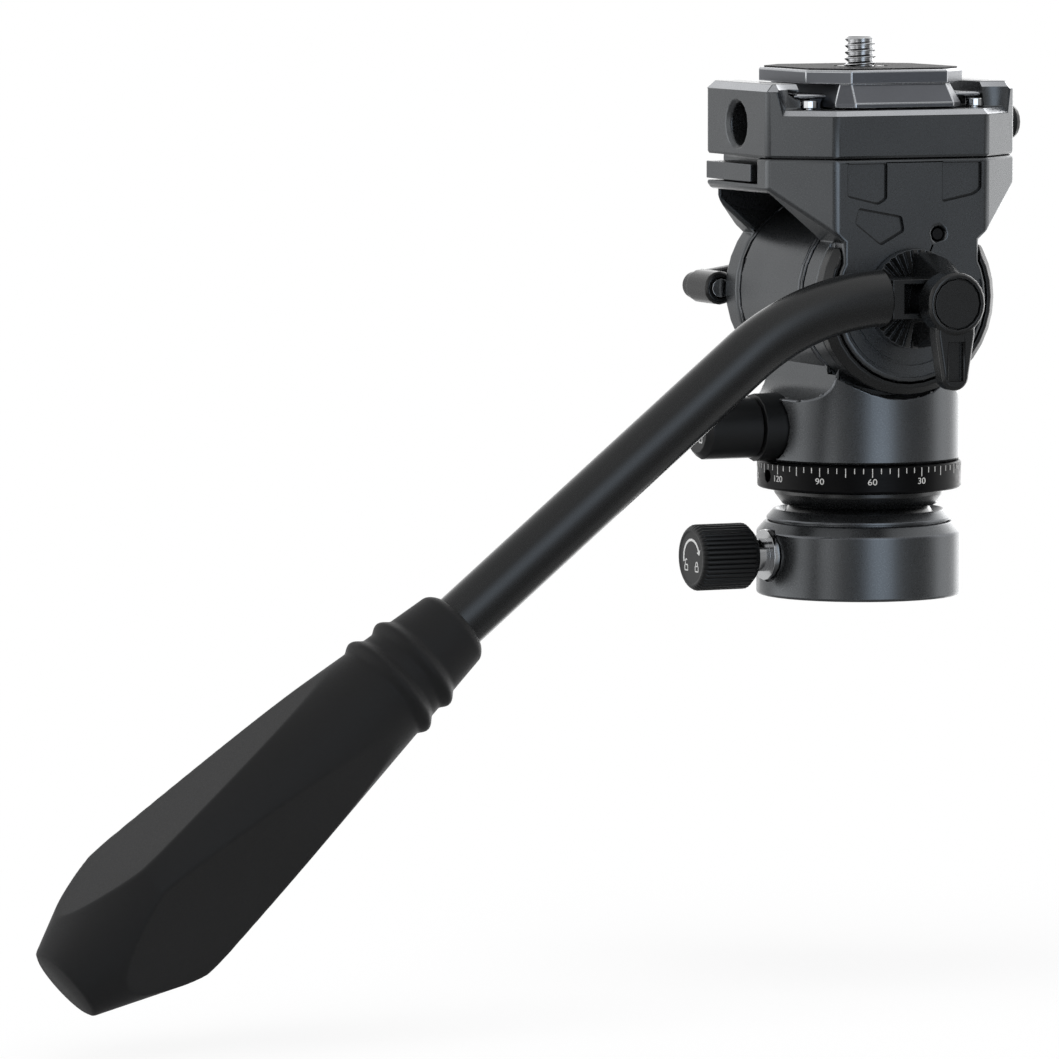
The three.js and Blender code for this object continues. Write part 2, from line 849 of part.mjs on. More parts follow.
// Yoke: the block's plan crossed with its front view, opened between the cheeks
function makeYoke() {
  const plan = prism(blockPlan(), -yoke.discRadius - fit.overrun, yoke.top, 'z');
  const frontView = [
    [yoke.halfLength, yoke.top],
    [yoke.halfLength, yoke.sideBottom],
    [yoke.frontHalfLength, yoke.slopeBottom],
    [yoke.neckHalf, yoke.neckHeight],
  ];
  const mirrored = frontView.map(([x, z]) => [-x, z]).reverse();
  const centre = yoke.neckHeight - yoke.discRadius / 2;
  const neck = [[yoke.neckHalf, centre], [-yoke.neckHalf, centre]];
  const view = [...frontView, ...neck, ...mirrored];
  const upper = prism(view, -yoke.halfWidth, yoke.halfWidth, 'y');
  const nearBoss = disc(yoke.bossRadius, -yoke.halfWidth, yoke.nearInner, facets.fine, 'y');
  const nearDisc = disc(yoke.discRadius, yoke.discFront, yoke.nearInner, facets.fine, 'y');
  const farDisc = disc(yoke.discRadius, yoke.farInner, yoke.halfWidth, facets.fine, 'y');
  const low = -yoke.discRadius - fit.overrun;
  const body = joined(upper.intersect(plan), nearBoss, nearDisc, farDisc);
  const reach = yoke.halfLength + fit.overrun;
  const between = block(-reach, reach, yoke.nearInner, yoke.farInner, low, yoke.webUnder);
  const front = -yoke.halfWidth - fit.overrun;
  const axle = disc(tilt.axleRadius + fit.gap, front, -front, facets.medium, 'y');
  const screwRoom = yokeScrew.radius + fit.gap;
  const screwEnd = yokeScrew.depth - yoke.halfWidth;
  const screw = disc(screwRoom, front, screwEnd, facets.small, 'y', yokeScrewPlace);
  return cut(body, between, axle, screw, makeSliderSlot(), ...makeBossGrooves(), ...makePockets());
}

// Two turned grooves round the lower half of the near boss
function makeBossGrooves() {
  const half = yoke.bossRadius;
  const lower = block(-half, half, -yoke.halfWidth - fit.overrun, 0, -half, bossGroove.top);
  const front = -yoke.halfWidth - fit.overrun;
  const back = bossGroove.depth - yoke.halfWidth;
  const groove = (radius) => tubeRing(radius, radius + bossGroove.width, front, back, facets.fine, 'y');
  return bossGroove.radii.map((radius) => groove(radius).intersect(lower));
}

// The three shallow pockets of the near cheek, each corner as shares of its half length and cheek height
const pocketShares = [
  [[-0.52, 0.975], [-0.2, 0.975], [-0.2, 0.71], [-0.27, 0.67], [-0.52, 0.73]],
  [[0.24, 0.975], [0.56, 0.975], [0.56, 0.77], [0.5, 0.73], [0.24, 0.68]],
  [[-0.43, 0.655], [-0.08, 0.59], [-0.06, 0.48], [-0.25, 0.38], [-0.46, 0.54]],
];

function makePockets() {
  return pocketShares.map((shares) => {
    const corners = shares.map(([u, v]) => new THREE.Vector2(u * yoke.halfLength, v * yoke.top));
    return prism(roundedOutline(corners, pocket.cornerRadius), -yoke.halfWidth - fit.overrun,
      pocket.depth - yoke.halfWidth, 'y');
  });
}

// An outline whose corners are rounded by a curve that starts a set distance before each of them
function roundedOutline(corners, reach) {
  const shape = new THREE.Shape();
  corners.forEach((corner, i) => {
    const before = corners[(i + corners.length - 1) % corners.length];
    const after = corners[(i + 1) % corners.length];
    const start = corner.clone().add(before.clone().sub(corner).setLength(reach));
    const end = corner.clone().add(after.clone().sub(corner).setLength(reach));
    if (i) shape.lineTo(start.x, start.y);
    else shape.moveTo(start.x, start.y);
    shape.quadraticCurveTo(corner.x, corner.y, end.x, end.y);
  });
  return shape;
}

function makeSliderSlot() {
  const inner = slider.depth - yoke.halfLength;
  return block(-yoke.halfLength - fit.overrun, inner, slider.slotStart, yoke.halfWidth + fit.overrun,
    slider.bottom - fit.gap, yoke.top + fit.overrun);
}

function makeLockSlider() {
  const start = slider.slotStart + slider.travel;
  const end = yoke.endHalfWidth - fit.gap;
  const inner = slider.depth - yoke.halfLength - fit.gap;
  const outer = -yoke.halfLength - fit.overrun;
  const top = slider.bottom + slider.height;
  const bar = block(outer, inner, start, end, slider.bottom, top);
  return bar.intersect(prism(blockPlan(-slider.proud), slider.bottom, top, 'z'));
}

function makeCheekRing() {
  const inner = yoke.bossRadius + fit.gap;
  const full = turned(
    [
      [inner, cheekRing.back],
      [cheekRing.radius, cheekRing.back],
      [cheekRing.radius, cheekRing.front + cheekRing.chamfer],
      [cheekRing.radius - cheekRing.chamfer, cheekRing.front],
      [inner, cheekRing.front],
    ],
    facets.fine,
    'y',
  );
  const half = cheekRing.radius + fit.overrun;
  const neck = yoke.neckHalf + fit.gap;
  const above = block(-half, half, -yoke.halfWidth, 0, cheekRing.topCut, half);
  const between = block(-neck, neck, -yoke.halfWidth, 0, 0, half);
  return cut(full, above, between);
}

function makeYokeScrew() {
  const start = yokeScrew.recess - yoke.halfWidth;
  const end = yokeScrew.depth - fit.gap - yoke.halfWidth;
  return disc(yokeScrew.radius, start, end, facets.small, 'y', yokeScrewPlace);
}

// A disc with radial teeth on its face: tooth crests and roots alternate round two rings
function toothedDisc(radius, back, front) {
  const direction = Math.sign(front - back);
  const loop = (r, heightOf) => Array.from({ length: rosette.teeth * 2 }, (_, i) => {
    const angle = (Math.PI * i) / rosette.teeth;
    return new THREE.Vector3(r * Math.cos(angle), heightOf(i), r * Math.sin(angle));
  });
  const drop = (share) => (i) => front - direction * share * rosette.toothHeight * (i % 2);
  const inner = loop(rosette.innerRadius, drop(rosette.innerShare));
  return skin([loop(radius, () => back), loop(radius, drop(1)), inner]);
}

function makeRosette() {
  const toothed = toothedDisc(rosette.radius, -yoke.halfWidth - fit.gap, rosette.front);
  const studRoom = handleStud.radius + fit.gap;
  return cut(toothed, disc(studRoom, rosette.front - fit.overrun, 0, facets.medium, 'y'));
}

function makeTiltAxle() {
  const reach = yoke.halfWidth - fit.gap;
  return disc(tilt.axleRadius, -reach, reach, facets.medium, 'y');
}

function makeHandleStud() {
  const start = yoke.halfWidth + fit.gap / 2;
  return turned(
    [
      [0, -handleStud.end],
      [handleStud.radius, -handleStud.end],
      [handleStud.radius, -start],
      [0, -start],
    ],
    facets.small,
    'y',
  );
}

// Receiver: the lower block, the raised end jaws, and the guides for the sliding jaw
function makeReceiver() {
  const lower = prism(blockPlan(), receiver.bottom, receiver.deck, 'z', receiver.splitChamfer);
  const raised = prism(blockPlan(), receiver.bottom, receiver.jawTop, 'z', receiver.jawChamfer);
  const inner = receiver.jawInner;
  const reach = yoke.halfLength + fit.overrun;
  const rise = block(-inner, inner, -reach, reach, receiver.bottom, receiver.jawTop + fit.overrun);
  const jaws = cut(raised, rise, ...jawScoops());
  const edged = lower.subtract(deckChamfer());
  return cut(joined(edged, jaws), ...receiverHollows());
}

// What lies outside a plan that narrows towards the deck: it cuts the bright chamfer round the deck
function deckChamfer() {
  const low = receiver.deck - receiver.chamfer;
  const outside = prism(blockPlan(-fit.overrun), low, receiver.deck + fit.gap, 'z');
  const rings = [[low - fit.gap, -fit.gap], [receiver.deck + fit.gap, receiver.chamfer + fit.gap]];
  const ring = ([z, inset]) => blockPlan(inset).map(([x, y]) => new THREE.Vector3(x, y, z));
  return outside.subtract(skin(rings.map(ring)));
}

// The corners of the raised jaws are cut away by cones that widen upwards and end in a chamfer
function jawScoops() {
  const low = receiver.deck - receiver.chamfer - fit.gap;
  const rim = receiver.jawTop - receiver.chamfer;
  const top = receiver.jawTop + fit.overrun;
  const profile = [
    [0, low],
    [receiver.scoopRadius, low],
    [receiver.scoopRadius, receiver.deck],
    [receiver.scoopTopRadius, rim],
    [receiver.scoopTopRadius + top - rim, top],
    [0, top],
  ];
  const signs = [[-1, -1], [-1, 1], [1, -1], [1, 1]];
  const place = ([sx, sy]) => [sx * receiver.scoopX, sy * receiver.scoopY, 0];
  return signs.map((sign) => turned(profile, facets.large, 'z', place(sign)));
}

function deckScrewPlaces() {
  const signs = [[-1, -1], [1, -1], [1, 1], [-1, 1]];
  return signs.map(([sx, sy]) => [sx * deckScrew.x, sy * deckScrew.y, 0]);
}

function receiverHollows() {
  const rodHalf = pushRod.width / 2 + fit.gap;
  const rodTop = pushRod.bottom + pushRod.height + fit.gap;
  const outer = yoke.halfLength + fit.overrun;
  const jawRoom = plateFoot.halfX + jaw.thickness + jaw.open + 2 * fit.gap;
  const flangeRoom = jaw.flangeReach + jaw.open;
  const flangeHalf = jaw.flangeHalfWidth + fit.gap;
  const floor = pushRod.bottom - fit.gap;
  const boreStart = yoke.halfLength - button.boreDepth;
  const tunnel = block(-jawRoom, boreStart + fit.gap, -rodHalf, rodHalf, floor, rodTop);
  const flangeFloor = jaw.top - jaw.flangeHeight - fit.gap;
  const flangeEnd = fit.overrun - receiver.jawInner;
  const flangeSlot = block(-flangeRoom, flangeEnd, -flangeHalf, flangeHalf, flangeFloor, jaw.top + fit.gap);
  const jawEnd = fit.gap - plateFoot.halfX;
  const jawHalf = jaw.halfWidth + fit.gap;
  const jawSlot = block(-jawRoom, jawEnd, -jawHalf, jawHalf, floor, receiver.jawTop + fit.overrun);
  const at = [0, 0, pushRod.bottom + pushRod.height / 2];
  const buttonBore = disc(button.radius + fit.gap, boreStart, outer, facets.medium, 'x', at);
  const hole = turned(
    [
      [0, -outer],
      [endHole.rimRadius, -outer],
      [endHole.rimRadius, -yoke.halfLength],
      [endHole.radius, endHole.rimDepth - yoke.halfLength],
      [endHole.radius, endHole.depth - yoke.halfLength],
      [0, endHole.depth - yoke.halfLength],
    ],
    facets.medium,
    'x',
    [0, 0, endHole.height],
  );
  const screwHoles = deckScrewPlaces().map((at) => disc(deckScrew.shankRadius + fit.gap,
    receiver.deck - deckScrew.length - fit.gap, receiver.deck + fit.overrun, facets.tiny, 'z', at));
  return [tunnel, jawSlot, flangeSlot, buttonBore, hole, ...screwHoles];
}

function makeDeckScrew() {
  const head = receiver.deck + fit.gap;
  const top = head + deckScrew.headHeight;
  const body = turned(
    [
      [0, receiver.deck - deckScrew.length],
      [deckScrew.shankRadius, receiver.deck - deckScrew.length],
      [deckScrew.shankRadius, head],
      [deckScrew.headRadius, head],
      [deckScrew.headRadius, top],
      [0, top],
    ],
    facets.small,
  );
  const socket = prism(hexagon(2 * deckScrew.socket), top - deckScrew.socket, top + fit.overrun, 'z');
  return cut(body, socket);
}

// The section of a jaw: it stands beside the plate's foot and its flange hooks over the flare
function jawSection(bottom) {
  const slope = (plateFoot.halfX - plateNeck.halfX) / plate.flareHeight;
  const low = jaw.top - jaw.flangeHeight;
  const edgeAt = (height) => (height - footTop) * slope - plateFoot.halfX - fit.gap;
  return [
    [-plateFoot.halfX - fit.gap - jaw.thickness, bottom],
    [-plateFoot.halfX - fit.gap, bottom],
    [-plateFoot.halfX - fit.gap, footTop],
    [edgeAt(low), low],
    [edgeAt(jaw.top), jaw.top],
    [-plateFoot.halfX - fit.gap - jaw.thickness, jaw.top],
  ];
}

function jawFlange(reach) {
  const low = jaw.top - jaw.flangeHeight;
  const inner = plateFoot.halfX + fit.gap;
  const half = jaw.flangeHalfWidth;
  const outline = [[-reach, -half], [-inner, -half], [-inner, half], [-reach, half]];
  return prism(outline, low, jaw.top, 'z', jaw.edge);
}

function makeFixedJaw() {
  const body = prism(jawSection(receiver.deck + fit.gap), -jaw.halfWidth, jaw.halfWidth, 'y');
  return joined(body, jawFlange(receiver.jawInner - fit.gap)).mirror([1, 0, 0]);
}

function makeMovingJaw() {
  const body = prism(jawSection(pushRod.bottom), -jaw.halfWidth, jaw.halfWidth, 'y');
  return joined(body, jawFlange(jaw.flangeReach - fit.gap));
}

const rodStart = -plateFoot.halfX;
const rodEnd = yoke.halfLength - button.boreDepth + button.travel;

function makePushRod() {
  return block(rodStart, rodEnd, -pushRod.width / 2, pushRod.width / 2, pushRod.bottom,
    pushRod.bottom + pushRod.height);
}

function makeReleaseButton() {
  const start = rodEnd + fit.gap;
  return turned(
    [
      [0, start],
      [button.radius, start],
      [button.radius, button.reach - button.dome],
      [0.82 * button.radius, button.reach - button.dome / 3],
      [0.4 * button.radius, button.reach],
      [0, button.reach],
    ],
    facets.medium,
    'x',
    [0, 0, pushRod.bottom + pushRod.height / 2],
  );
}

// Camera plate: an octagonal slab on a dovetail that runs along the tilt axis
const footBottom = receiver.deck + fit.gap;
const footTop = footBottom + plate.footHeight;
const slabBottom = footTop + plate.flareHeight;
const slabTop = slabBottom + plate.thickness;
const padTop = slabTop + pad.proud;
const padBottom = padTop - pad.thickness;

function octagon(half, flatHalf) {
  return [
    [half, -flatHalf], [half, flatHalf], [flatHalf, half], [-flatHalf, half],
    [-half, flatHalf], [-half, -flatHalf], [-flatHalf, -half], [flatHalf, -half],
  ];
}

// A rectangle with its corners cut off at 45 degrees, at one height
function plateOutline({ halfX, halfY, corner }, height) {
  const x = halfX - corner;
  const y = halfY - corner;
  const points = [
    [halfX, -y], [halfX, y], [x, halfY], [-x, halfY],
    [-halfX, y], [-halfX, -y], [-x, -halfY], [x, -halfY],
  ];
  return points.map(([u, v]) => new THREE.Vector3(u, v, height));
}

function padOutline(growth) {
  return octagon(plate.half - pad.inset + growth, plate.cornerHalf - pad.inset / 2 + growth / 2);
}

// The plate: an octagonal slab on a foot that flares outwards on all sides for the jaws
function makePlate() {
  const { half, cornerHalf, edge } = plate;
  const rims = [[slabBottom, 0], [slabTop - edge, 0], [slabTop, edge]];
  const slab = skin(rims.map(([z, inset]) => {
    const outline = octagon(half - inset, cornerHalf - inset / 2);
    return outline.map(([x, y]) => new THREE.Vector3(x, y, z));
  }));
  const foot = skin([
    plateOutline(plateFoot, footBottom),
    plateOutline(plateFoot, footTop),
    plateOutline(plateNeck, slabBottom),
    plateOutline(plateNeck, slabBottom + plate.thickness / 2),
  ]);
  const hole = disc(plate.screwClearance, footBottom - fit.overrun, slabTop + fit.overrun, facets.small);
  const headTop = footBottom + plate.pocketDepth;
  const headRoom = disc(plate.pocketRadius, footBottom - fit.overrun, headTop, facets.medium);
  const ringFloor = slabTop - washer.height - fit.gap;
  const ringRoom = disc(washer.radius + fit.gap, ringFloor, slabTop + fit.overrun, facets.medium);
  const padBoss = disc(pad.holeRadius - fit.gap, slabBottom, slabTop + 2 * fit.overrun, facets.medium);
  const padRoom = prism(padOutline(fit.gap), padBottom - fit.gap, slabTop + fit.overrun, 'z');
  return cut(joined(slab, foot), hole, headRoom, ringRoom, padRoom.subtract(padBoss));
}

function makePad() {
  const flat = prism(padOutline(0), padBottom, padTop, 'z');
  return cut(flat, disc(pad.holeRadius, slabBottom, padTop + fit.overrun, facets.medium));
}

function makeCameraScrew() {
  const headTop = footBottom + plate.pocketDepth - fit.gap;
  const headBottom = headTop - cameraScrew.headHeight;
  const top = padTop + cameraScrew.proud;
  const body = turned([
    [0, headBottom],
    [cameraScrew.headRadius, headBottom],
    [cameraScrew.headRadius, headTop],
    [cameraScrew.radius, headTop],
    [cameraScrew.radius, top - cameraScrew.tip],
    [cameraScrew.radius - cameraScrew.tip, top],
    [0, top],
  ]);
  const half = cameraScrew.slotWidth / 2;
  const reach = cameraScrew.headRadius + fit.overrun;
  const slotTop = headBottom + cameraScrew.slotDepth;
  const slot = block(-reach, reach, -half, half, headBottom - fit.overrun, slotTop);
  return cut(body, slot);
}

function makeScrewRing() {
  const inner = cameraScrew.radius + fit.gap;
  return tubeRing(inner, washer.radius, slabTop - washer.height, slabTop + fit.gap, facets.medium);
}

// Handle hub: a toothed cone cut off on the tube's side, with a slotted tongue and a tang for the tube
function makeHandleHub() {
  const toothFront = rosette.front - fit.gap;
  const toothBack = toothFront - hub.toothBase;
  const toothed = toothedDisc(hub.radius, toothBack, toothFront);
  const cone = turned(
    [
      [0, -hub.coneEnd],
      [hub.coneRadius, -hub.coneEnd],
      [hub.coneRadius, -hub.coneEnd + lever.edge],
      [hub.radius, -hub.shoulder],
      [hub.radius, toothBack + fit.gap],
      [0, toothBack + fit.gap],
    ],
    facets.large,
    'y',
  );
  const half = hub.radius + fit.overrun;
  const front = -hub.coneEnd - fit.overrun;
  const tongueRoot = (tube.startX - tongue.slotX) / 2;
  const away = block(-half, -hub.cutX, front, 0, -half, half);
  const core = disc(hub.coreRadius, -hub.coneEnd, toothBack, facets.medium, 'y');
  const tang = tangPiece(hub.tangRadius, tube.startX - tongueRoot, tube.startX + hub.tangLength);
  const body = joined(cut(joined(cone, toothed), away), makeTongue(), core, tang);
  const bore = disc(hub.bore, front, rosette.front + fit.overrun, facets.medium, 'y');
  return cut(body, bore);
}

function makeTongue() {
  const end = fit.gap - tube.startX;
  const { front, back, bottom, top, slotX, slotDepth, slotEdge } = tongue;
  const body = block(end, -hub.cutX, -front, -back, bottom, top);
  const slotEnd = slotDepth - front;
  const slot = block(-slotX, 0, -front - fit.overrun, slotEnd, bottom + slotEdge, top - slotEdge);
  return cut(body, slot);
}

// A round piece from inside the hub towards the tube, in line with the tube's start
function tangPiece(radius, from, to) {
  const at = tubePoint(0);
  const direction = THREE.MathUtils.degToRad(tube.startDeg);
  const geometry = new THREE.CylinderGeometry(radius, radius, to - from, facets.small);
  geometry.rotateZ(Math.PI / 2);
  geometry.translate(tube.startX - (from + to) / 2, 0, 0);
  geometry.rotateY(-direction);
  geometry.translate(at.x, at.y, at.z);
  return solidFrom(geometry);
}

const tubeBend = THREE.MathUtils.degToRad(tube.endDeg - tube.startDeg) * tube.bendRadius;
const tubeStop = grip.start + grip.boreDepth - fit.gap;

// Where the tube's centre line is at a length along it: straight, one bend in the handle's plane, straight
function tubePoint(length) {
  const start = THREE.MathUtils.degToRad(tube.startDeg);
  const end = THREE.MathUtils.degToRad(tube.endDeg);
  const first = Math.min(length, tube.straightStart);
  const turn = THREE.MathUtils.clamp(length - tube.straightStart, 0, tubeBend) / tube.bendRadius;
  const last = Math.max(length - tube.straightStart - tubeBend, 0);
  const across = first * Math.cos(start) + tube.bendRadius * (Math.sin(start + turn) - Math.sin(start))
    + last * Math.cos(end);
  const down = first * Math.sin(start) + tube.bendRadius * (Math.cos(start) - Math.cos(start + turn))
    + last * Math.sin(end);
  return new THREE.Vector3(-tube.startX - across, -tube.plane, tube.startHeight - down);
}

// The same line for a sweep: its first and last tenth are the straight ends, so most steps fall in the bend
class TubeLine extends THREE.Curve {
  getPoint(share) {
    const first = Math.min(share / tube.endShare, 1) * tube.straightStart;
    const bendShare = (share - tube.endShare) / (1 - 2 * tube.endShare);
    const middle = THREE.MathUtils.clamp(bendShare, 0, 1) * tubeBend;
    const lastShare = Math.max(share - 1 + tube.endShare, 0) / tube.endShare;
    return tubePoint(first + middle + lastShare * (tubeStop - tube.straightStart - tubeBend));
  }

  getUtoTmapping(share) {
    return share;
  }
}

function makeHandleTube() {
  const shape = new THREE.Shape();
  shape.absarc(0, 0, tube.radius, 0, 2 * Math.PI, false);
  const hole = new THREE.Path();
  hole.absarc(0, 0, tube.radius - tube.wall, 0, 2 * Math.PI, true);
  shape.holes.push(hole);
  const geometry = new THREE.ExtrudeGeometry(shape, {
    steps: Math.round(1 / tube.endShare),
    curveSegments: facets.small,
    extrudePath: new TubeLine(),
  });
  return solidFrom(geometry);
}

// Radius of the grip before its flats are cut: a long cone with two beads, a crest and a short end cone
function gripRadius(t) {
  const rise = grip.startRadius + ((grip.peakRadius - grip.startRadius) * t) / grip.peak;
  const endShare = (grip.length - t) / (grip.length - grip.peak);
  const fall = grip.endRadius + (grip.peakRadius - grip.endRadius) * endShare;
  const fromPeak = Math.abs(t - grip.peak) / grip.crestReach;
  const crest = fromPeak < 1 ? grip.crestDrop * (1 - fromPeak) ** 2 : 0;
  const bead = (centre) => {
    const away = Math.abs(t - centre) / grip.beadReach;
    return away < 1 ? (grip.beadHeight * (1 + Math.cos(Math.PI * away))) / 2 : 0;
  };
  const collarShare = Math.max(1 - t / grip.collarReach, 0);
  return Math.min(rise, fall) - crest + bead(grip.firstBead) + bead(grip.secondBead)
    - grip.collarDrop * collarShare ** 2;
}

function gripStations() {
  const places = [0, grip.collarReach / 2, grip.collarReach, grip.firstBead - 1.6 * grip.beadReach];
  const beads = [grip.firstBead, grip.secondBead];
  const beadShares = [-1, -0.5, 0, 0.5, 1];
  beads.forEach((centre) => beadShares.forEach((share) => places.push(centre + share * grip.beadReach)));
  const coneShares = [0.35, 0.48, 0.6, 0.72, 0.84];
  coneShares.forEach((share) => places.push(share * grip.peak));
  const crestShares = [-1, -0.5, 0, 0.5, 1];
  crestShares.forEach((share) => places.push(grip.peak + share * grip.crestReach));
  const endShares = [0.5, 0.75, 1];
  endShares.forEach((share) => places.push(grip.peak + share * (grip.length - grip.peak)));
  return places.sort((a, b) => a - b);
}

// The grip is turned first and then cut by three flats, so a ring is a circle or a rounded triangle
function makeHandleGrip() {
  const count = facets.fine;
  const rings = gripStations().map((t) => {
    const radius = gripRadius(t);
    return Array.from({ length: count }, (_, i) => {
      const angle = (2 * Math.PI * i) / count;
      const third = (2 * Math.PI) / 3;
      const fromFlat = ((angle + third / 2) % third) - third / 2;
      const reach = Math.min(radius, grip.flat / Math.cos(fromFlat));
      return new THREE.Vector3(reach * Math.sin(angle), reach * Math.cos(angle), t);
    });
  });
  const body = skin(rings);
  const bore = disc(grip.bore, -fit.overrun, grip.boreDepth, facets.small);
  return cut(body, bore);
}

// The clamping lever of the handle: a round head and an arm that hangs down, with a pocket in its face
function makeHandleLever() {
  const r = lever.radius;
  const end = lever.armLength - lever.armEndRadius;
  const outline = new THREE.Shape();
  outline.moveTo(lever.armRootHalf, 0);
  outline.lineTo(lever.armRootHalf, -r);
  outline.lineTo(lever.armEndRadius, -end);
  outline.absarc(0, -end, lever.armEndRadius, 0, -Math.PI, true);
  outline.lineTo(-lever.armRootHalf, -r);
  outline.lineTo(-lever.armRootHalf, 0);
  const armFront = lever.front - lever.edge;
  const arm = prism(outline, -armFront, lever.armThickness - armFront, 'y', lever.edge);
  const head = turned(
    [
      [0, -lever.front],
      [r - lever.edge, -lever.front],
      [r, lever.edge - lever.front],
      [r, -lever.back],
      [0, -lever.back],
    ],
    facets.large,
    'y',
  );
  const front = -lever.front - fit.overrun;
  const back = fit.overrun - lever.back;
  const capFloor = lever.capRecess * 2 - lever.front;
  const capRoom = disc(lever.capRadius + fit.gap, front, capFloor, facets.medium, 'y');
  const bore = disc(lever.bore, lever.capRecess - lever.front, back, facets.small, 'y');
  const nutFloor = -lever.back - handleStud.nutHeight - fit.gap;
  const nutRoom = disc(handleStud.nutRadius + fit.gap, nutFloor, back, facets.medium, 'y');
  const half = lever.pocketHalf;
  const faceFloor = lever.pocketDepth - armFront;
  const face = block(-half, half, front, faceFloor, -lever.pocketEnd, -lever.pocketStart);
  return cut(joined(arm, head), capRoom, bore, nutRoom, face);
}

function makeLeverCap() {
  const front = lever.capRecess / 2 - lever.front;
  const back = lever.capRecess * 2 - fit.gap - lever.front;
  return disc(lever.capRadius, front, back, facets.medium, 'y');
}

function makeLeverInsert() {
  const inner = handleStud.radius + fit.gap;
  const front = -lever.back - handleStud.nutHeight;
  return tubeRing(inner, handleStud.nutRadius, front, -lever.back, facets.medium, 'y');
}

const tiltLockSeat = tiltLock.hubEnd - tiltLock.armThickness - fit.gap;

// Tilt lock: a stud through the far cheek, an arm behind it and a grip that comes back towards the head
function makeTiltLockArm() {
  const back = tiltLock.hubEnd - tiltLock.armThickness;
  const outline = new THREE.Shape();
  outline.absarc(0, 0, tiltLock.hubRadius, -Math.PI / 2, Math.PI / 2, false);
  outline.lineTo(-tiltLock.armLength, tiltLock.armHalf);
  outline.absarc(-tiltLock.armLength, 0, tiltLock.armHalf, Math.PI / 2, 1.5 * Math.PI, false);
  const arm = prism(outline, back, tiltLock.hubEnd, 'y', tiltLock.edge);
  const { hubRadius, hubStart } = tiltLock;
  const middle = back + tiltLock.armThickness / 2;
  const hubPiece = disc(hubRadius, hubStart, middle, facets.medium, 'y');
  const studRoom = tiltLock.studRadius + fit.gap;
  const bore = disc(studRoom, hubStart - fit.overrun, back, facets.small, 'y');
  return cut(joined(arm, hubPiece), bore);
}

function makeTiltLockGrip() {
  const { gripRadius, gripStart: start, headHeight, edge } = tiltLock;
  const body = chamferedDisc(gripRadius, start, tiltLockSeat, edge, 0, facets.medium, 'y');
  const headRoom = tiltLock.screwHead + fit.gap;
  const headEnd = start + headHeight + fit.gap;
  const room = disc(headRoom, start - fit.overrun, headEnd, facets.small, 'y');
  const shankRoom = tiltLock.screwRadius + fit.gap;
  const shank = disc(shankRoom, start, tiltLockSeat + fit.overrun, facets.small, 'y');
  return cut(body, room, shank);
}

function makeTiltLockScrew() {
  const start = tiltLock.gripStart;
  return turned(
    [
      [0, start],
      [tiltLock.screwHead, start],
      [tiltLock.screwHead, start + tiltLock.headHeight],
      [tiltLock.screwRadius, start + tiltLock.headHeight],
      [tiltLock.screwRadius, tiltLockSeat],
      [0, tiltLockSeat],
    ],
    facets.small,
    'y',
  );
}

function makeTiltLockStud() {
  return disc(tiltLock.studRadius, yoke.halfWidth, tiltLockSeat, facets.small, 'y');
}

const baseGroup = groupAt([0, 0, 0],
  named('base_cup', 'anodised', makeBaseCup()),
  named('ball_retaining_collar', 'anodised', makeCollar()),
  named('tripod_thread_insert', 'steel', makeThreadInsert()),
);

const levelGroup = groupAt([0, 0, 0],
  named('ball_seat_liner', 'nylon', makeBallLiner()),
  named('levelling_ball', 'satinBlack', makeBall()),
  named('graduated_ring', 'black', makeGraduatedRing()),
  named('ring_set_screw', 'black', makeRingScrew()),
  named('pan_spindle', 'steel', makeSpindle()),
  named('spindle_nut', 'steel', makeSpindleNut()),
  named('pan_drag_drum', 'machined', makePanDragDrum()),
  named('pan_thrust_bearing', 'steel', makeThrustBearing()),
);

const panGroup = groupAt([0, 0, 0],
  named('pan_body', 'anodised', makePanBody()),
  named('pan_retaining_ring', 'steel', makePanRetainer()),
);

const drumGroup = groupAt([0, 0, tilt.height],
  named('drum_end_cap', 'anodised', makeDrumEndCap()),
  named('tilt_bearing_near', 'steel', makeTiltBearing(drum.near, drum.near + drum.capThickness)),
  named('tilt_bearing_far', 'steel', makeTiltBearing(drum.far - drum.farWall + fit.gap, drum.far)),
  named('tilt_drag_stator', 'machined', makeTiltStator()),
);

const baseKnobGroup = groupAt([0, 0, ball.centre],
  named('base_knob', 'black', makeBaseKnob()),
  named('base_knob_stud', 'steel', makeBaseKnobStud()),
  named('ball_brake_shoe', 'nylon', makeBallBrakeShoe()),
);

const panKnobGroup = groupAt([0, 0, panKnobHeight],
  named('pan_knob', 'black', makePanKnob()),
  named('pan_knob_stud', 'steel', makePanKnobStud()),
  named('pan_knob_bush', 'black', makePanKnobBush()),
  named('pan_brake_shoe', 'nylon', makePanBrakeShoe()),
);

const yokeGroup = groupAt([0, 0, tilt.height],
  named('tilt_yoke', 'anodised', makeYoke()),
  named('cheek_ring', 'black', makeCheekRing()),
  named('yoke_rosette', 'satinBlack', makeRosette()),
  named('tilt_axle', 'steel', makeTiltAxle()),
  named('tilt_drag_rotor', 'machined', makeTiltRotor()),
  named('handle_stud', 'steel', makeHandleStud()),
  named('yoke_set_screw', 'black', makeYokeScrew()),
  named('lock_slider', 'anodised', makeLockSlider()),
);

const receiverGroup = groupAt([0, 0, tilt.height],
  named('quick_release_receiver', 'anodised', makeReceiver()),
  named('fixed_jaw', 'black', makeFixedJaw()),
  named('moving_jaw', 'black', makeMovingJaw()),
  named('release_pushrod', 'steel', makePushRod()),
  named('release_button', 'black', makeReleaseButton()),
);
deckScrewPlaces().forEach((place, i) => {
  const screw = named(`receiver_screw_${i + 1}`, 'steel', makeDeckScrew());
  screw.position.set(...place);
  receiverGroup.add(screw);
});

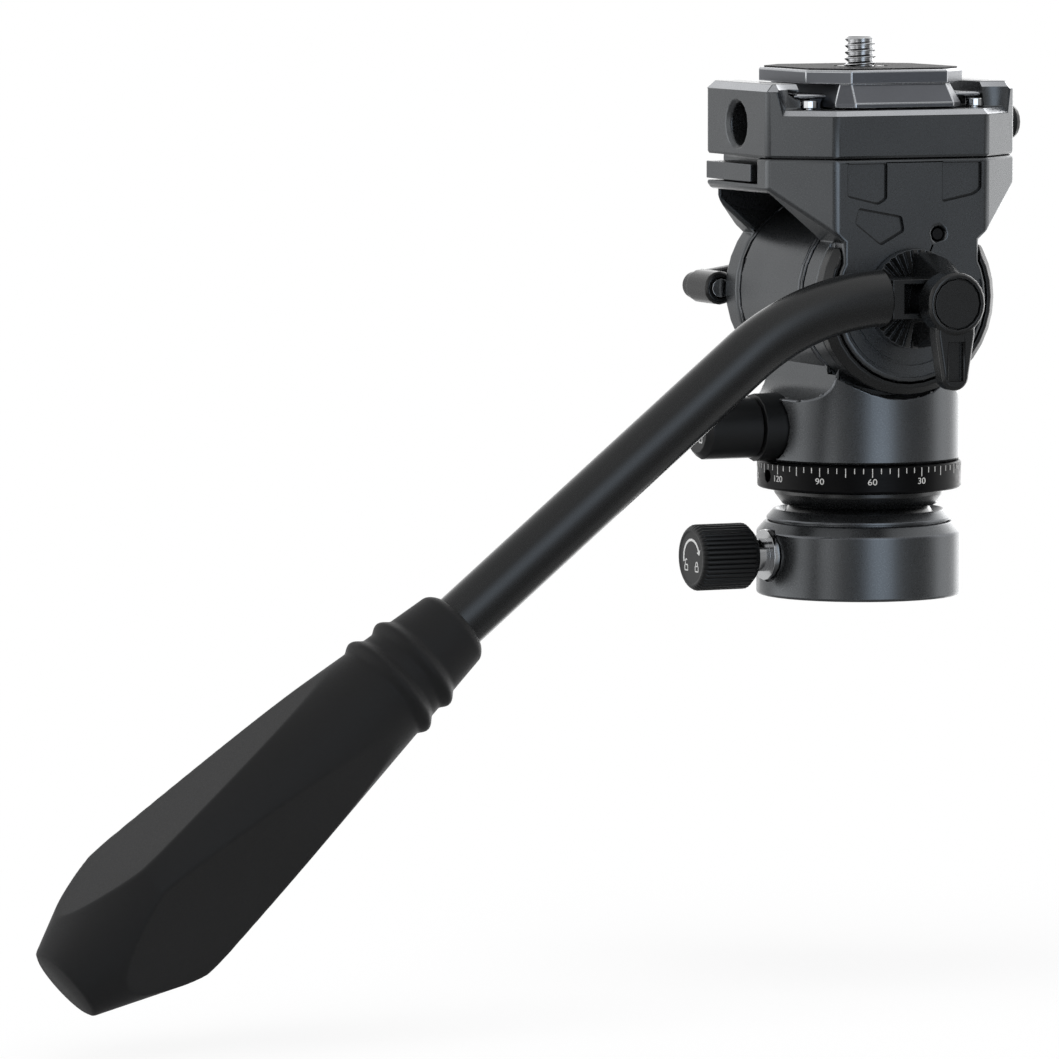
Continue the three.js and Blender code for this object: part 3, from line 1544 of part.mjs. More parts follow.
const plateGroup = groupAt([0, 0, tilt.height],
  named('quick_release_plate', 'anodised', makePlate()),
  named('plate_pad', 'rubber', makePad()),
  named('camera_screw', 'steel', makeCameraScrew()),
  named('screw_ring', 'steel', makeScrewRing()),
);

const slope = THREE.MathUtils.degToRad(tube.endDeg);
const gripTurn = new THREE.Matrix4().makeBasis(
  new THREE.Vector3(0, -1, 0),
  new THREE.Vector3(-Math.sin(slope), 0, Math.cos(slope)),
  new THREE.Vector3(-Math.cos(slope), 0, -Math.sin(slope)),
);
const gripMesh = named('handle_grip', 'rubber', makeHandleGrip());
gripMesh.position.copy(tubePoint(grip.start));
gripMesh.quaternion.setFromRotationMatrix(gripTurn);
const handleGroup = groupAt([0, 0, tilt.height],
  named('handle_hub', 'satinBlack', makeHandleHub()),
  named('handle_tube', 'satinBlack', makeHandleTube()),
  gripMesh,
  named('handle_lever', 'black', makeHandleLever()),
  named('lever_cap', 'black', makeLeverCap()),
  named('lever_insert', 'brass', makeLeverInsert()),
);

const tiltLockGrip = named('tilt_lock_grip', 'satinBlack', makeTiltLockGrip());
const tiltLockScrew = named('tilt_lock_screw', 'steel', makeTiltLockScrew());
tiltLockGrip.position.x = -tiltLock.armLength;
tiltLockScrew.position.x = -tiltLock.armLength;
const tiltLockGroup = groupAt([0, 0, tilt.height],
  named('tilt_lock_lever', 'satinBlack', makeTiltLockArm()),
  named('tilt_lock_stud', 'steel', makeTiltLockStud()),
  tiltLockGrip,
  tiltLockScrew,
);

const head = new THREE.Group();
head.add(baseGroup, levelGroup, panGroup, drumGroup, baseKnobGroup, panKnobGroup, yokeGroup, receiverGroup,
  plateGroup, handleGroup, tiltLockGroup);

export default head;
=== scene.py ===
import json
import math

import bmesh
import bpy
import numpy as np
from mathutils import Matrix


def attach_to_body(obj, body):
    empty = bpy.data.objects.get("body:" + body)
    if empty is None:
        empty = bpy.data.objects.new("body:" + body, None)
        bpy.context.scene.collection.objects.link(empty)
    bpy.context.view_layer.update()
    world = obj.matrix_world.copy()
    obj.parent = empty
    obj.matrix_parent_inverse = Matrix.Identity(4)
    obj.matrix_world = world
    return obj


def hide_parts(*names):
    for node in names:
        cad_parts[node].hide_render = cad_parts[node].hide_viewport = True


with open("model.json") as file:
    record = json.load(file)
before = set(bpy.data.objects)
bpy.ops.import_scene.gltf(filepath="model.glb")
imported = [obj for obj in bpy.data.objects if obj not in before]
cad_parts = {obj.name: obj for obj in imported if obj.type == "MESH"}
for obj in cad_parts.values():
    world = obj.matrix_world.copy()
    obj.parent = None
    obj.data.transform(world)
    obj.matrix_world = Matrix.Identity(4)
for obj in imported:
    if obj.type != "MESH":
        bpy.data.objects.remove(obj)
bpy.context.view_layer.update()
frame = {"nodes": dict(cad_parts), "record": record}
nodes = frame["nodes"]
bodyOf = {}
for bodyName, members in frame["record"]["behaviour"]["bodies"].items():
    bodyOf.update({member: bodyName for member in members})
mm = 0.001
print("frame loaded with", len(nodes), "nodes")


def colour(hexValue):
    # sRGB hex to the linear colour that a socket holds
    parts = np.array([int(hexValue[i:i + 2], 16) for i in (1, 3, 5)]) / 255
    linear = np.where(parts <= 0.04045, parts / 12.92, ((parts + 0.055) / 1.055) ** 2.4)
    return (*linear.tolist(), 1)


def addNode(tree, kind, inputs=None, **settings):
    # one node: its settings by name, and each input as a value or as the socket that feeds it
    node = tree.nodes.new("ShaderNode" + kind)
    for key, value in settings.items():
        setattr(node, key, value)
    for key, value in (inputs or {}).items():
        if isinstance(value, bpy.types.NodeSocket):
            tree.links.new(value, node.inputs[key])
        else:
            node.inputs[key].default_value = value
    return node


def grainedMaterial(name, look):
    # two noises: a broad one clouds the colour, a fine one is the grain in colour, gloss and relief
    material = bpy.data.materials.new(name)
    material.use_nodes = True
    tree = material.node_tree
    tree.nodes.clear()
    place = addNode(tree, "TexCoord").outputs["Object"]
    stretched = addNode(tree, "Mapping", {"Vector": place, "Scale": look.get("stretch", (1, 1, 1))}).outputs["Vector"]
    broad = addNode(tree, "TexNoise", {"Vector": place, "Scale": 1 / (look["cloudSize"] * mm), "Detail": 4})
    fine = addNode(tree, "TexNoise", {"Vector": stretched, "Scale": 1 / (look["grainSize"] * mm), "Detail": 3})
    clouded = addNode(tree, "MixRGB", {"Fac": broad.outputs["Fac"], "Color1": colour(look["dark"]),
                                       "Color2": colour(look["light"])})
    speck = addNode(tree, "MapRange", {"Value": fine.outputs["Fac"], "From Min": 0.35, "From Max": 0.7,
                                       "To Min": 1 - look["speckle"], "To Max": 1 + look["speckle"]})
    shaded = addNode(tree, "VectorMath", {0: clouded.outputs["Color"], "Scale": speck.outputs["Result"]},
                     operation="SCALE")
    gloss = addNode(tree, "MapRange", {"Value": fine.outputs["Fac"], "From Min": 0.3, "From Max": 0.7,
                                       "To Min": look["roughness"] - look["roughnessSpread"],
                                       "To Max": look["roughness"] + look["roughnessSpread"]})
    relief = addNode(tree, "Bump", {"Height": fine.outputs["Fac"], "Strength": look["relief"],
                                    "Distance": look["grainSize"] * mm * 0.2})
    surface = addNode(tree, "BsdfPrincipled", {
        "Base Color": shaded.outputs["Vector"],
        "Roughness": gloss.outputs["Result"],
        "Normal": relief.outputs["Normal"],
        "Metallic": look["metallic"],
        "Specular IOR Level": look.get("specular", 0.5),
    })
    addNode(tree, "OutputMaterial", {"Surface": surface.outputs["BSDF"]})
    return material


# Bead-blasted aluminium, anodised dark blue-grey: a soft metal sheen with no streaks, slightly mottled
beadBlastedLook = {
    "dark": "#4e5052", "light": "#595b5d", "speckle": 0.05, "metallic": 0.9, "roughness": 0.3,
    "roughnessSpread": 0.05, "cloudSize": 14, "grainSize": 0.28, "relief": 0.1,  # grit of 0.1 mm, drawn coarser
}
# The corners of a blasted part: lighter where the dye wears thin with handling, and as a painted highlight on the
# edge
edgeWearAndHighlightLook = {
    "dark": "#56585b", "light": "#626467", "speckle": 0.08, "metallic": 0.9, "roughness": 0.3,
    "roughnessSpread": 0.05, "cloudSize": 8, "grainSize": 0.28, "relief": 0.1,
}
# Chamfers milled after the blasting: bright as bare metal and as a painted highlight, with fine cutter lines
milledAndHighlightLook = {
    "dark": "#a3a5a9", "light": "#b9bbbe", "speckle": 0.05, "metallic": 0.95, "roughness": 0.24,
    "roughnessSpread": 0.06, "cloudSize": 9, "grainSize": 0.3, "stretch": (1, 1, 4), "relief": 0.12,
}
# The camera plate: blasted lighter, its flared foot catches the light
plateLook = {
    "dark": "#5a5c60", "light": "#65676c", "speckle": 0.05, "metallic": 0.9, "roughness": 0.34,
    "roughnessSpread": 0.05, "cloudSize": 12, "grainSize": 0.28, "relief": 0.1,
}
# Satin black anodised aluminium: nearly black, with a clear soft highlight
satinBlackLook = {
    "dark": "#121314", "light": "#18191a", "speckle": 0.05, "metallic": 0.3, "roughness": 0.28,
    "roughnessSpread": 0.04, "cloudSize": 16, "grainSize": 0.25, "relief": 0.025, "specular": 0.6,
}
# Turned black ring: fine lathe marks run round it, so the grain is long in the turning plane
turnedBlackLook = {
    "dark": "#060607", "light": "#0a0a0b", "speckle": 0.06, "metallic": 0, "roughness": 0.36,
    "roughnessSpread": 0.06, "cloudSize": 12, "grainSize": 0.3, "stretch": (0.15, 0.15, 1), "relief": 0.06,
    "specular": 0.08,
}
# Moulded glass-filled nylon: deep black with a spark-eroded grain
mouldedLook = {
    "dark": "#0c0d0e", "light": "#111213", "speckle": 0.08, "metallic": 0, "roughness": 0.42,
    "roughnessSpread": 0.06, "cloudSize": 10, "grainSize": 0.22, "relief": 0.16, "specular": 0.3,
}
# Matt moulded rubber: dry, greyer where it is rubbed, with a fine peel
rubberLook = {
    "dark": "#141414", "light": "#1a1a1b", "speckle": 0.07, "metallic": 0, "roughness": 0.62,
    "roughnessSpread": 0.05, "cloudSize": 22, "grainSize": 0.3, "relief": 0.12, "specular": 0.22,
}
# Turned and plated steel: mirror-like with faint rings
platedLook = {
    "dark": "#b8b9bb", "light": "#cccdce", "speckle": 0.03, "metallic": 1, "roughness": 0.16,
    "roughnessSpread": 0.05, "cloudSize": 6, "grainSize": 0.3, "stretch": (1, 1, 3), "relief": 0.04,
}
# Blackened steel screws: dark with a dull shine
blackenedLook = {
    "dark": "#1b1b1c", "light": "#262627", "speckle": 0.05, "metallic": 0.85, "roughness": 0.32,
    "roughnessSpread": 0.06, "cloudSize": 5, "grainSize": 0.2, "relief": 0.08,
}
# Plain turned aluminium of the inner drums
turnedLook = {
    "dark": "#a8aaad", "light": "#b9bbbe", "speckle": 0.05, "metallic": 1, "roughness": 0.3,
    "roughnessSpread": 0.08, "cloudSize": 8, "grainSize": 0.3, "stretch": (0.2, 1, 0.2), "relief": 0.08,
}
nylonLook = {  # natural nylon: milky, waxy
    "dark": "#d3cfc2", "light": "#dedacd", "speckle": 0.03, "metallic": 0, "roughness": 0.5,
    "roughnessSpread": 0.05, "cloudSize": 6, "grainSize": 0.4, "relief": 0.05,
}
brassLook = {  # turned brass
    "dark": "#a98a4c", "light": "#bb9b5a", "speckle": 0.04, "metallic": 1, "roughness": 0.25,
    "roughnessSpread": 0.06, "cloudSize": 5, "grainSize": 0.25, "relief": 0.05,
}
printLook = {  # white pad print: flat, a little uneven
    "dark": "#cfcfcd", "light": "#dcdcda", "speckle": 0.05, "metallic": 0, "roughness": 0.6,
    "roughnessSpread": 0.05, "cloudSize": 3, "grainSize": 0.15, "relief": 0.05,
}

beadBlasted = grainedMaterial("bead_blasted_anodised_aluminium", beadBlastedLook)
edgeWearAndHighlight = grainedMaterial("anodised_edge_worn_and_painted_highlight", edgeWearAndHighlightLook)
milledAndHighlight = grainedMaterial("milled_chamfer_and_painted_highlight", milledAndHighlightLook)
plateBlasted = grainedMaterial("plate_grey_anodised_aluminium", plateLook)
satinBlack = grainedMaterial("satin_black_anodised_aluminium", satinBlackLook)
turnedBlack = grainedMaterial("turned_black_anodised_aluminium", turnedBlackLook)
moulded = grainedMaterial("moulded_black_nylon", mouldedLook)
rubber = grainedMaterial("matt_moulded_rubber", rubberLook)
plated = grainedMaterial("turned_plated_steel", platedLook)
blackened = grainedMaterial("blackened_steel", blackenedLook)
turned = grainedMaterial("plain_turned_aluminium", turnedLook)
naturalNylon = grainedMaterial("natural_nylon", nylonLook)
brass = grainedMaterial("turned_brass", brassLook)
whitePrint = grainedMaterial("white_pad_print", printLook)
print("materials made")


def toMesh(name, vertices, faces, materials):
    mesh = bpy.data.meshes.new(name)
    mesh.from_pydata(np.asarray(vertices).tolist(), [], faces)
    for material in materials:
        mesh.materials.append(material)
    mesh.shade_smooth()
    piece = bpy.data.objects.new(name, mesh)
    bpy.context.scene.collection.objects.link(piece)
    return piece


facetTurn = math.cos(math.radians(24))  # facets of one round wall turn by less than this
edgeTurn = math.cos(math.radians(32))  # faces that turn by more meet in an edge
edgeSlot, milledAndHighlightSlot, paintedShadeSlot = 1, 2, 3  # material slots: rounded edges, milled faces with a painted highlight, pocket faces with painted shade


def meshArrays(mesh):
    # corners as vertices and edges, and each face's size, area, direction and middle
    corners, cornerEdges = np.empty((2, len(mesh.loops)), int)
    mesh.loops.foreach_get("vertex_index", corners)
    mesh.loops.foreach_get("edge_index", cornerEdges)
    totals, slots = np.empty((2, len(mesh.polygons)), int)
    mesh.polygons.foreach_get("loop_total", totals)
    mesh.polygons.foreach_get("material_index", slots)
    areas = np.empty(len(mesh.polygons))
    mesh.polygons.foreach_get("area", areas)
    normals, middles = np.empty((2, len(mesh.polygons), 3))
    mesh.polygons.foreach_get("normal", normals.ravel())
    mesh.polygons.foreach_get("center", middles.ravel())
    faceOf = np.repeat(np.arange(totals.size), totals)
    return corners, cornerEdges, faceOf, slots, areas, normals, middles


def meetings(labels):
    # every ordered pair of entries that carry the same label
    order = np.argsort(labels, kind="stable")
    counts = np.bincount(labels)
    starts = np.cumsum(counts) - counts
    sizes = counts[labels]
    left = np.repeat(np.arange(labels.size), sizes)
    within = np.arange(left.size) - np.repeat(np.cumsum(sizes) - sizes, sizes)
    return left, order[starts[labels[left]] + within]


fineRounding = 0.14


def weighEdges(mesh, width, isCrisp):
    # an outer edge is rounded by the width, less beside narrow faces, and an inner edge by a third of it; the
    # edges of crisp faces are only broken and those of very narrow faces stay sharp
    _, cornerEdges, faceOf, _, areas, normals, middles = meshArrays(mesh)
    places = np.empty((len(mesh.vertices), 3))
    mesh.vertices.foreach_get("co", places.ravel())
    ends = np.empty((len(mesh.edges), 2), int)
    mesh.edges.foreach_get("vertices", ends.ravel())
    lengths = np.linalg.norm(places[ends[:, 1]] - places[ends[:, 0]], axis=1)
    one, two = faceOf[np.argsort(cornerEdges, kind="stable")].reshape(-1, 2).T
    turn = np.sum(normals[one] * normals[two], axis=1)
    isOuter = np.sum((middles[two] - middles[one]) * normals[one], axis=1) < 0
    space = np.minimum(areas[one], areas[two]) / lengths / mm
    share = np.minimum(0.3 * space / width, 1)
    share = np.where(isCrisp[one] | isCrisp[two], np.minimum(share, fineRounding / width), share)
    share = np.where(space < min(5 * fineRounding, 1.5 * width), 0, share)
    weights = np.where(turn < edgeTurn, share * np.where(isOuter, 1, 0.33), 0)
    mesh.attributes.new("bevel_weight_edge", "FLOAT", "EDGE").data.foreach_set("value", weights)


def settleNormals(mesh):
    # a corner takes the mean of the face directions round its vertex, each counted once and only those of its
    # own round wall, so facets shade as a true cylinder; rounded edges start from their neighbours' directions
    corners, _, faceOf, slots, _, normals, _ = meshArrays(mesh)
    left, right = meetings(corners)
    isRounded = slots[faceOf] == edgeSlot
    own, other = normals[faceOf[left]], normals[faceOf[right]]
    alike = np.sum(own * other, axis=1)
    twins = np.bincount(left, weights=(alike > 0.9995) & (isRounded[left] == isRounded[right]))
    touchesFlat = np.bincount(corners, weights=~isRounded)[corners] > 0
    reach = np.where(isRounded[left], np.where(touchesFlat[left], 0.2, -1), facetTurn)
    counted = (isRounded[right] == (isRounded[left] & ~touchesFlat[left])) & (alike > reach)
    share = counted / twins[right]
    sums = np.stack([np.bincount(left, weights=share * other[:, axis]) for axis in range(3)], axis=-1)
    size = np.linalg.norm(sums, axis=1, keepdims=True)
    settled = np.where(size > 1e-6, sums / np.maximum(size, 1e-6), normals[faceOf])
    mesh.normals_split_custom_set(settled.tolist())


def softenEdges(piece, width):
    # the rounding is made once and kept as plain geometry
    bevel = piece.modifiers.new("soft_edges", "BEVEL")
    bevel.width = width * mm
    bevel.segments = 4
    bevel.limit_method = "WEIGHT"
    bevel.use_clamp_overlap = False
    bevel.material = edgeSlot
    ready = piece.evaluated_get(bpy.context.evaluated_depsgraph_get())
    piece.data = bpy.data.meshes.new_from_object(ready)
    piece.modifiers.clear()
    settleNormals(piece.data)


def attach(piece, body, slotName, *replaced):
    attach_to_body(piece, body)
    if replaced:
        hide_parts(*replaced)


cadFacets = 36  # the CAD's large round walls have this many flat facets
fineTurns = 144
underLowered = 0.2
# The shallow pockets in the yoke's front: floor and mouth as depths, lowest height, floor areas, width of the strip
# of painted shade
pocketShape = {"floor": -22.07, "mouth": -22.65, "lowest": 70, "leastArea": 20, "mostArea": 100, "strip": 0.42,
               "screwHole": (5.85, 71.8), "screwRoom": 2}


def splitRound(work):
    # upright planes through the main axis cut the flat facets of a round wall into narrow ones
    for turn in np.linspace(0, np.pi, fineTurns // 2, endpoint=False):
        everything = work.verts[:] + work.edges[:] + work.faces[:]
        bmesh.ops.bisect_plane(work, geom=everything, dist=0.001 * mm, plane_co=(0, 0, 0),
                               plane_no=(-math.sin(turn), math.cos(turn), 0))


def roundOut(places, radius):
    # a point on a facet of this radius lies inside the circle by how far it is from the facet's ends
    half = np.pi / cadFacets
    angle = np.arctan2(places[:, 1], places[:, 0])
    fromMiddle = angle % (2 * half) - half
    away = np.hypot(places[:, 0], places[:, 1])
    onWall = (away > radius * np.cos(half) - 0.01) & (away < radius + 0.01)
    factor = np.where(onWall, np.cos(fromMiddle) / np.cos(half), 1)
    return places * np.stack([factor, factor, np.ones_like(factor)], axis=-1)


def closeGap(places, bottom):
    # the block's underside comes down to a hairline above the piece that it is screwed to
    lowered = places.copy()
    lowered[places[:, 2] < bottom + 0.01, 2] -= underLowered
    return lowered


def shadePockets(work):
    # a narrow strip round the floor of each shallow pocket in the yoke's front gets satin black too, as painted shade
    p = pocketShape
    low, high = p["leastArea"] * mm ** 2, p["mostArea"] * mm ** 2
    floors = [face for face in work.faces if face.normal.y < -0.99 and low < face.calc_area() < high
              and abs(face.calc_center_median().y - p["floor"] * mm) < 0.1 * mm]
    strip = bmesh.ops.inset_individual(work, faces=floors, thickness=p["strip"] * mm)["faces"]
    for face in strip:
        face.material_index = paintedShadeSlot


def movePoints(mesh, change, *sizes):
    places = np.empty((len(mesh.vertices), 3))
    mesh.vertices.foreach_get("co", places.ravel())
    mesh.vertices.foreach_set("co", (change(places / mm, *sizes) * mm).ravel())


def dress(nodeName, slotName, material, width, edgeMaterial=None, faceFinish=None, wallRadius=None, bottom=None,
          reshape=None):
    # faceFinish takes the faces' middles and normals and gives each face's slot; reshape changes the open mesh
    mesh = bpy.data.meshes.new(nodeName + "_finished")
    work = bmesh.new()
    work.from_mesh(nodes[nodeName].data)
    bmesh.ops.remove_doubles(work, verts=work.verts, dist=0.002 * mm)
    bmesh.ops.dissolve_limit(work, angle_limit=math.radians(0.3), verts=work.verts, edges=work.edges)
    work.to_mesh(mesh)
    finish = np.zeros(len(mesh.polygons), int)
    if faceFinish:
        normals, middles = meshArrays(mesh)[-2:]
        finish = np.asarray(faceFinish(middles / mm, normals), int)
    mesh.polygons.foreach_set("material_index", finish)
    weighEdges(mesh, width, finish == milledAndHighlightSlot)
    work.clear()
    work.from_mesh(mesh)
    if reshape:
        reshape(work)
    bmesh.ops.connect_verts_concave(work, faces=work.faces[:])
    if wallRadius:
        splitRound(work)
    work.to_mesh(mesh)
    work.free()
    if wallRadius:
        movePoints(mesh, roundOut, wallRadius)
    if bottom:
        movePoints(mesh, closeGap, bottom)
    # the third slot is the milled colour with its painted highlight, the fourth is satin black as painted shade in
    # the yoke's pockets
    for item in (material, edgeMaterial or material, milledAndHighlight, satinBlack):
        mesh.materials.append(item)
    mesh.shade_smooth()
    piece = bpy.data.objects.new(nodeName + "_finished", mesh)
    bpy.context.scene.collection.objects.link(piece)
    softenEdges(piece, width)
    attach(piece, bodyOf[nodeName], slotName, nodeName)


def chamferFaces(middles, normals):
    # the milled chamfers of the receiver: faces that look up at an angle, bright as milled metal and as a painted
    # highlight from above
    return milledAndHighlightSlot * ((normals[:, 2] > 0.4) & (normals[:, 2] < 0.95) & (middles[:, 2] > 94))


def pocketWalls(middles, normals):
    # the walls of the shallow pockets in the yoke's front get satin black as painted shade, the screw's hole doesn't
    p = pocketShape
    fromScrew = np.hypot(middles[:, 0] - p["screwHole"][0], middles[:, 2] - p["screwHole"][1])
    return paintedShadeSlot * ((np.abs(normals[:, 1]) < 0.2) & (middles[:, 1] > p["mouth"]) & (middles[:, 1] < p["floor"])
                         & (middles[:, 2] > p["lowest"]) & (fromScrew > p["screwRoom"]))


def slabEdgeFaces(middles, normals):
    # the milled top edge of the camera plate, bright as milled metal and as a painted highlight from above
    return milledAndHighlightSlot * ((normals[:, 2] > 0.4) & (normals[:, 2] < 0.95) & (middles[:, 2] > 102))


def flangeTopFaces(middles, normals):
    # the upper side of the jaws' flanges, milled with the edge round it, bright as milled metal and as a painted
    # highlight from above
    return milledAndHighlightSlot * ((normals[:, 2] > 0.4) & (middles[:, 2] > 98))


receiverBottom = 87
# the yoke's pocket walls and a strip round each pocket floor are painted shade in satin black
dress("tilt_yoke", "anodised_grey", beadBlasted, 0.9, beadBlasted, pocketWalls, reshape=shadePockets)
# the receiver's upward chamfers take the milled colour: bare metal and a painted highlight from above
dress("quick_release_receiver", "anodised_grey", beadBlasted, 0.9, beadBlasted, chamferFaces, bottom=receiverBottom)
# the plate and jaws take the milled colour on every rounded edge and their upward faces: bare metal and a painted
# highlight
dress("quick_release_plate", "plate_grey", plateBlasted, 0.2, milledAndHighlight, slabEdgeFaces)
for nodeName in ("fixed_jaw", "moving_jaw"):
    dress(nodeName, "plate_grey", plateBlasted, 0.15, milledAndHighlight, flangeTopFaces)

panWallRadius = 20
# the lighter edge colour on these rounded edges is worn dye and a painted highlight
dress("pan_body", "anodised_grey", beadBlasted, 0.45, edgeWearAndHighlight, wallRadius=panWallRadius)
greyDress = {"base_cup": 0.3, "ball_retaining_collar": 0.2, "drum_end_cap": 0.3, "lock_slider": 0.2}
for nodeName, width in greyDress.items():
    dress(nodeName, "anodised_grey", beadBlasted, width, edgeWearAndHighlight)
blackDress = {"cheek_ring": 0.25, "handle_hub": 0.25, "handle_lever": 0.35, "lever_cap": 0.15,
              "tilt_lock_lever": 0.3, "tilt_lock_grip": 0.3, "levelling_ball": 0.2}
for nodeName, width in blackDress.items():
    dress(nodeName, "satin_black", satinBlack, width)
# the teeth's rounded crests take the lighter edge colour, a painted highlight with wear
dress("yoke_rosette", "satin_black", satinBlack, 0.08, edgeWearAndHighlight)
dress("graduated_ring", "satin_black", turnedBlack, 0.12)
knobDress = {"pan_knob": 0.15, "pan_knob_bush": 0.15, "release_button": 0.12}
for nodeName, width in knobDress.items():
    dress(nodeName, "knob_black", moulded, width)
screwDress = {"ring_set_screw": 0.08, "yoke_set_screw": 0.08, "screw_ring": 0.1}
for nodeName, width in screwDress.items():
    dress(nodeName, "dark_steel", blackened, width)
steelDress = {"base_knob_stud": 0.15, "tripod_thread_insert": 0.12, "tilt_lock_screw": 0.1,
              "receiver_screw_1": 0.1, "receiver_screw_2": 0.1, "receiver_screw_3": 0.1, "receiver_screw_4": 0.1}
for nodeName, width in steelDress.items():
    dress(nodeName, "bright_steel", plated, width)
dress("plate_pad", "black_rubber", rubber, 0.12)
dress("lever_insert", "insert_brass", brass, 0.1)

# Pieces inside the head keep their CAD mesh and get their finish
innerFinish = {
    plated: ["pan_spindle", "spindle_nut", "pan_thrust_bearing", "pan_retaining_ring", "tilt_bearing_near",
             "tilt_bearing_far", "tilt_axle", "handle_stud", "pan_knob_stud", "release_pushrod", "tilt_lock_stud"],
    turned: ["pan_drag_drum", "tilt_drag_stator", "tilt_drag_rotor"],
    naturalNylon: ["ball_seat_liner", "ball_brake_shoe", "pan_brake_shoe"],
}
for material, names in innerFinish.items():
    for name in names:
        nodes[name].data.materials.clear()
        nodes[name].data.materials.append(material)
print("CAD pieces dressed")


def gridFaces(rows, count):
    # quads between neighbouring rows; each row closes on itself
    index = np.arange(rows * count).reshape(rows, count)
    after = np.roll(index, -1, axis=1)
    return np.stack([index[:-1], after[:-1], after[1:], index[1:]], axis=-1).reshape(-1, 4).tolist()


def closedRows(rings):
    # a shell over rows of points whose first and last row close on a middle point of their own
    rows, count = rings.shape[:2]
    poles = np.array([rings[0].mean(axis=0), rings[-1].mean(axis=0)])
    vertices = np.concatenate([rings.reshape(-1, 3), poles])
    around = np.arange(count)
    after = np.roll(around, -1)
    first = np.stack([np.full(count, rows * count), after, around], axis=-1)
    last = np.stack([np.full(count, rows * count + 1), around, after], axis=-1) + [0, (rows - 1) * count,
                                                                                    (rows - 1) * count]
    return vertices, gridFaces(rows, count) + first.tolist() + last.tolist()


tiltHeight = 59.4
tubeShape = {"plane": -32.95, "radius": 5.5, "wall": 1.25, "startX": -11.55, "startHeight": 1, "startSlope": 3,
             "endSlope": 38.8, "bendRadius": 49.5, "straightStart": 0.9, "length": 149, "edge": 0.35,
             "stations": 120, "count": 72}


def tubeLine(lengths):
    # points of the centre line at these lengths: straight, one arc, straight, in the plane y = plane
    start, end = math.radians(tubeShape["startSlope"]), math.radians(tubeShape["endSlope"])
    radius = tubeShape["bendRadius"]
    first = np.minimum(lengths, tubeShape["straightStart"])
    turn = np.clip(lengths - tubeShape["straightStart"], 0, radius * (end - start)) / radius
    last = np.maximum(lengths - tubeShape["straightStart"] - radius * (end - start), 0)
    across = first * np.cos(start) + radius * (np.sin(start + turn) - np.sin(start)) + last * np.cos(end)
    down = first * np.sin(start) + radius * (np.cos(start) - np.cos(start + turn)) + last * np.sin(end)
    points = np.stack([tubeShape["startX"] - across, np.full_like(across, tubeShape["plane"]),
                       tiltHeight + tubeShape["startHeight"] - down], axis=-1)
    return points, start + turn


def makeTube():
    # the wall's section, a flat ring with a chamfered mouth, is carried along the centre line
    edge, radius, inner = tubeShape["edge"], tubeShape["radius"], tubeShape["radius"] - tubeShape["wall"]
    along = np.linspace(edge, tubeShape["length"], tubeShape["stations"])
    lengths = np.concatenate([[0], along, along[::-1], [0]])
    radii = np.concatenate([[radius - edge], np.full(along.size, radius), np.full(along.size, inner), [inner]])
    middles, slopes = tubeLine(lengths)
    angle = np.linspace(0, 2 * np.pi, tubeShape["count"], endpoint=False)[:, None]
    upward = np.stack([-np.sin(slopes), np.zeros_like(slopes), np.cos(slopes)], axis=-1)
    sideward = np.array([0, -1, 0])
    rings = middles + radii[:, None] * (np.cos(angle)[..., None] * upward + np.sin(angle)[..., None] * sideward)
    count, rows = rings.shape[0], rings.shape[1]
    index = np.arange(count * rows).reshape(count, rows)
    nextAround, nextAlong = np.roll(index, -1, axis=0), np.roll(index, -1, axis=1)
    both = np.roll(nextAround, -1, axis=1)
    faces = np.stack([index, nextAround, both, nextAlong], axis=-1).reshape(-1, 4).tolist()
    piece = toMesh("handle_tube_finished", rings.reshape(-1, 3) * mm, faces, [satinBlack])
    piece.data.set_sharp_from_angle(angle=math.radians(35))
    attach(piece, "handle", "satin_black", "handle_tube")


gripShape = {"start": 109.25, "length": 102.35, "startRadius": 7.65, "peak": 80.45, "peakRadius": 17.4,
             "endRadius": 7.85, "crestDrop": 0.41, "crestReach": 5.4, "collarReach": 1.8, "collarDrop": 1.15,
             "beadHeight": 1.15, "beadReach": 2.35, "beads": (11.6, 18), "flat": 10.9, "flatBlend": 0.25,
             "stations": 320, "count": 240, "endRound": 0.6, "bore": 5.75}


def gripRadius(t):
    # a long cone and a short one meet in a soft crest; two raised beads and a rounded collar near the tube
    g = gripShape
    rise = g["startRadius"] + (g["peakRadius"] - g["startRadius"]) * t / g["peak"]
    fall = g["endRadius"] + (g["peakRadius"] - g["endRadius"]) * (g["length"] - t) / (g["length"] - g["peak"])
    away = np.clip(1 - np.abs(t - g["peak"]) / g["crestReach"], 0, 1)
    radius = np.minimum(rise, fall) - g["crestDrop"] * away ** 2
    for bead in g["beads"]:
        near = np.clip(np.abs(t - bead) / g["beadReach"], 0, 1)
        radius = radius + g["beadHeight"] * (1 + np.cos(np.pi * near)) / 2
    return radius - g["collarDrop"] * np.clip(1 - t / g["collarReach"], 0, 1) ** 2


